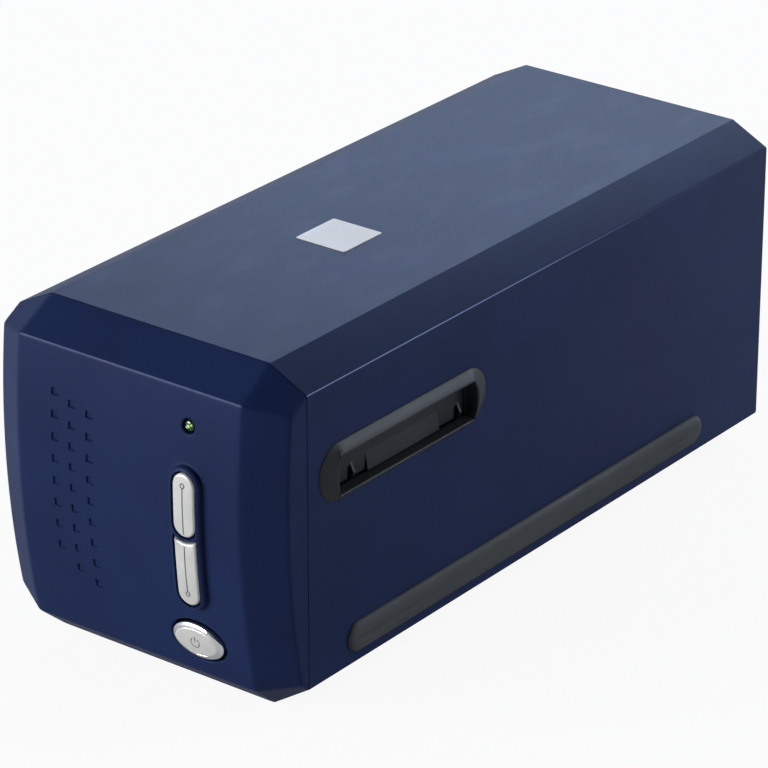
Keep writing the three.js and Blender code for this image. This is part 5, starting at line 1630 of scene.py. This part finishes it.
@dataclass(frozen=True)
class Lamp:
    """Soft area light, with its place and size in metres and its power in watts."""

    name: str
    place: Triple
    size: Pair
    power: float
    tint: Triple = (1, 1, 1)
    aim: Triple = (0, 0, 0.06)

    def build(self) -> None:
        """Adds the light, aimed at the scanner's middle."""
        data = bpy.data.lights.new(self.name, "AREA")
        data.shape, data.energy, data.color = "RECTANGLE", self.power, self.tint
        data.size, data.size_y = self.size
        made = linked(self.name, data)
        made.location, made.rotation_mode = self.place, "QUATERNION"
        made.rotation_quaternion = (Vector(self.place) - Vector(self.aim)).to_track_quat("Z", "Y")


@dataclass
class Studio:
    """Pale floor, soft lights and the camera at the photograph's angle."""

    camera_at: Triple = (780.168, -1022.387, 651.882)
    right: Triple = (0.79395, 0.60798, -0.00025)
    up: Triple = (-0.25547, 0.33398, 0.90730)
    back: Triple = (0.55170, -0.72029, 0.42049)
    lens: float = 199.1
    sensor: float = 36
    seen_range: Pair = (0.05, 50)
    floor_half: float = 14.0
    floor_tone: float = 0.8
    seen_white: float = 0.92
    mirrored_white: float = 0.12
    sky: tuple[float, float, float, float] = (0.86, 0.93, 1.0, 1.0)
    horizon: float = 0.55
    zenith: float = 0.05
    bright_below: float = 0.5
    dark_above: float = 0.97
    shaded: Triple = (0.8, -0.5, 0.33)
    lit_level: float = 1.5
    shade_level: float = 0.05
    background: float = 0.96
    lamps: tuple[Lamp, ...] = (
        Lamp("back_left", (-1.2, 2.45, 1.25), (2.2, 1.3), 42, (0.5, 0.67, 1.0)),
        Lamp("front_left", (-1.5, -2.05, 0.66), (1.8, 0.9), 78),
        Lamp("back_right", (1.6, 1.85, 0.45), (0.9, 0.6), 25, (0.74, 0.86, 1.0)),
        Lamp("right_high", (1.35, 0.6, 1.95), (1.0, 1.0), 14),
    )

    def camera(self) -> None:
        """Camera with the photograph's place, turn and field of view."""
        data = bpy.data.cameras.new("camera")
        data.sensor_width, data.lens = self.sensor, self.lens
        data.clip_start, data.clip_end = self.seen_range
        made = linked("camera", data)
        turn = Matrix((self.right, self.up, self.back)).transposed().to_4x4()
        made.matrix_world = Matrix.Translation(Vector(self.camera_at) * MM) @ turn
        bpy.context.scene.camera = made

    def floor(self) -> None:
        """Large pale floor that keeps a soft shadow and shows nearly white."""
        side = self.floor_half
        mesh = bpy.data.meshes.new("floor")
        mesh.from_pydata([(-side, -side, 0), (side, -side, 0), (side, side, 0), (-side, side, 0)], [], [(0, 1, 2, 3)])
        material = bpy.data.materials.new("floor")
        nodes = Nodes(material, "ShaderNodeOutputMaterial")
        diffuse = nodes.node("ShaderNodeBsdfDiffuse", {}, {"Color": (*(self.floor_tone,) * 3, 1)})
        glow = nodes.node("ShaderNodeEmission", {}, {"Strength": 1.0})
        mirrored = nodes.ray("Is Glossy Ray") + nodes.ray("Is Transmission Ray")
        share = nodes.ray("Is Camera Ray") * self.seen_white + mirrored * self.mirrored_white
        nodes.feed(nodes.output, "Surface", nodes.node("ShaderNodeMixShader", {}, {0: share, 1: diffuse, 2: glow}))
        mesh.materials.append(material)
        linked("floor", mesh)

    def world(self) -> None:
        """Pale surroundings near the horizon, darker towards the zenith and the viewer's side."""
        world = bpy.data.worlds.new("studio")
        bpy.context.scene.world = world
        nodes = Nodes(world, "ShaderNodeOutputWorld")
        place = nodes.node("ShaderNodeTexCoord", {}, {}, "Generated")
        height = nodes.node("ShaderNodeSeparateXYZ", {}, {0: place}, "Z")
        towards = nodes.node("ShaderNodeVectorMath", {"operation": "DOT_PRODUCT"}, {0: place, 1: self.shaded}, "Value")
        level = height.between(self.bright_below, self.dark_above, self.horizon, self.zenith)
        level = level * towards.between(-1, 1, self.lit_level, self.shade_level)
        rays = {0: nodes.ray("Is Camera Ray"), 1: nodes.ray("Is Transmission Ray")}
        seen = nodes.node("ShaderNodeMath", {"operation": "MAXIMUM"}, rays)
        inputs = {"Factor_Float": seen, "A_Float": level, "B_Float": self.background}
        inputs = {"Color": self.sky, "Strength": nodes.node("ShaderNodeMix", {}, inputs)}
        nodes.feed(nodes.output, "Surface", nodes.node("ShaderNodeBackground", {}, inputs))

    def build(self) -> None:
        """Sets up the whole studio."""
        bpy.context.scene.view_settings.view_transform = "Standard"
        self.camera()
        self.floor()
        self.world()
        for lamp in self.lamps:
            lamp.build()
        LOG.info("studio ready, with %d lamps", len(self.lamps))


def main() -> None:
    """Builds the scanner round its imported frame, piece by piece."""
    logging.basicConfig(level=logging.INFO, format="%(name)s: %(message)s")
    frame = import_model()
    body = Body()
    buttons = Buttons(body)
    Bezel(body).build(buttons)
    buttons.build()
    for part in (Shell(body), FilmSlot(body), Trim(body), Works(frame), Studio()):
        part.build()
    bpy.context.view_layer.update()


if __name__ == "__main__":
    main()
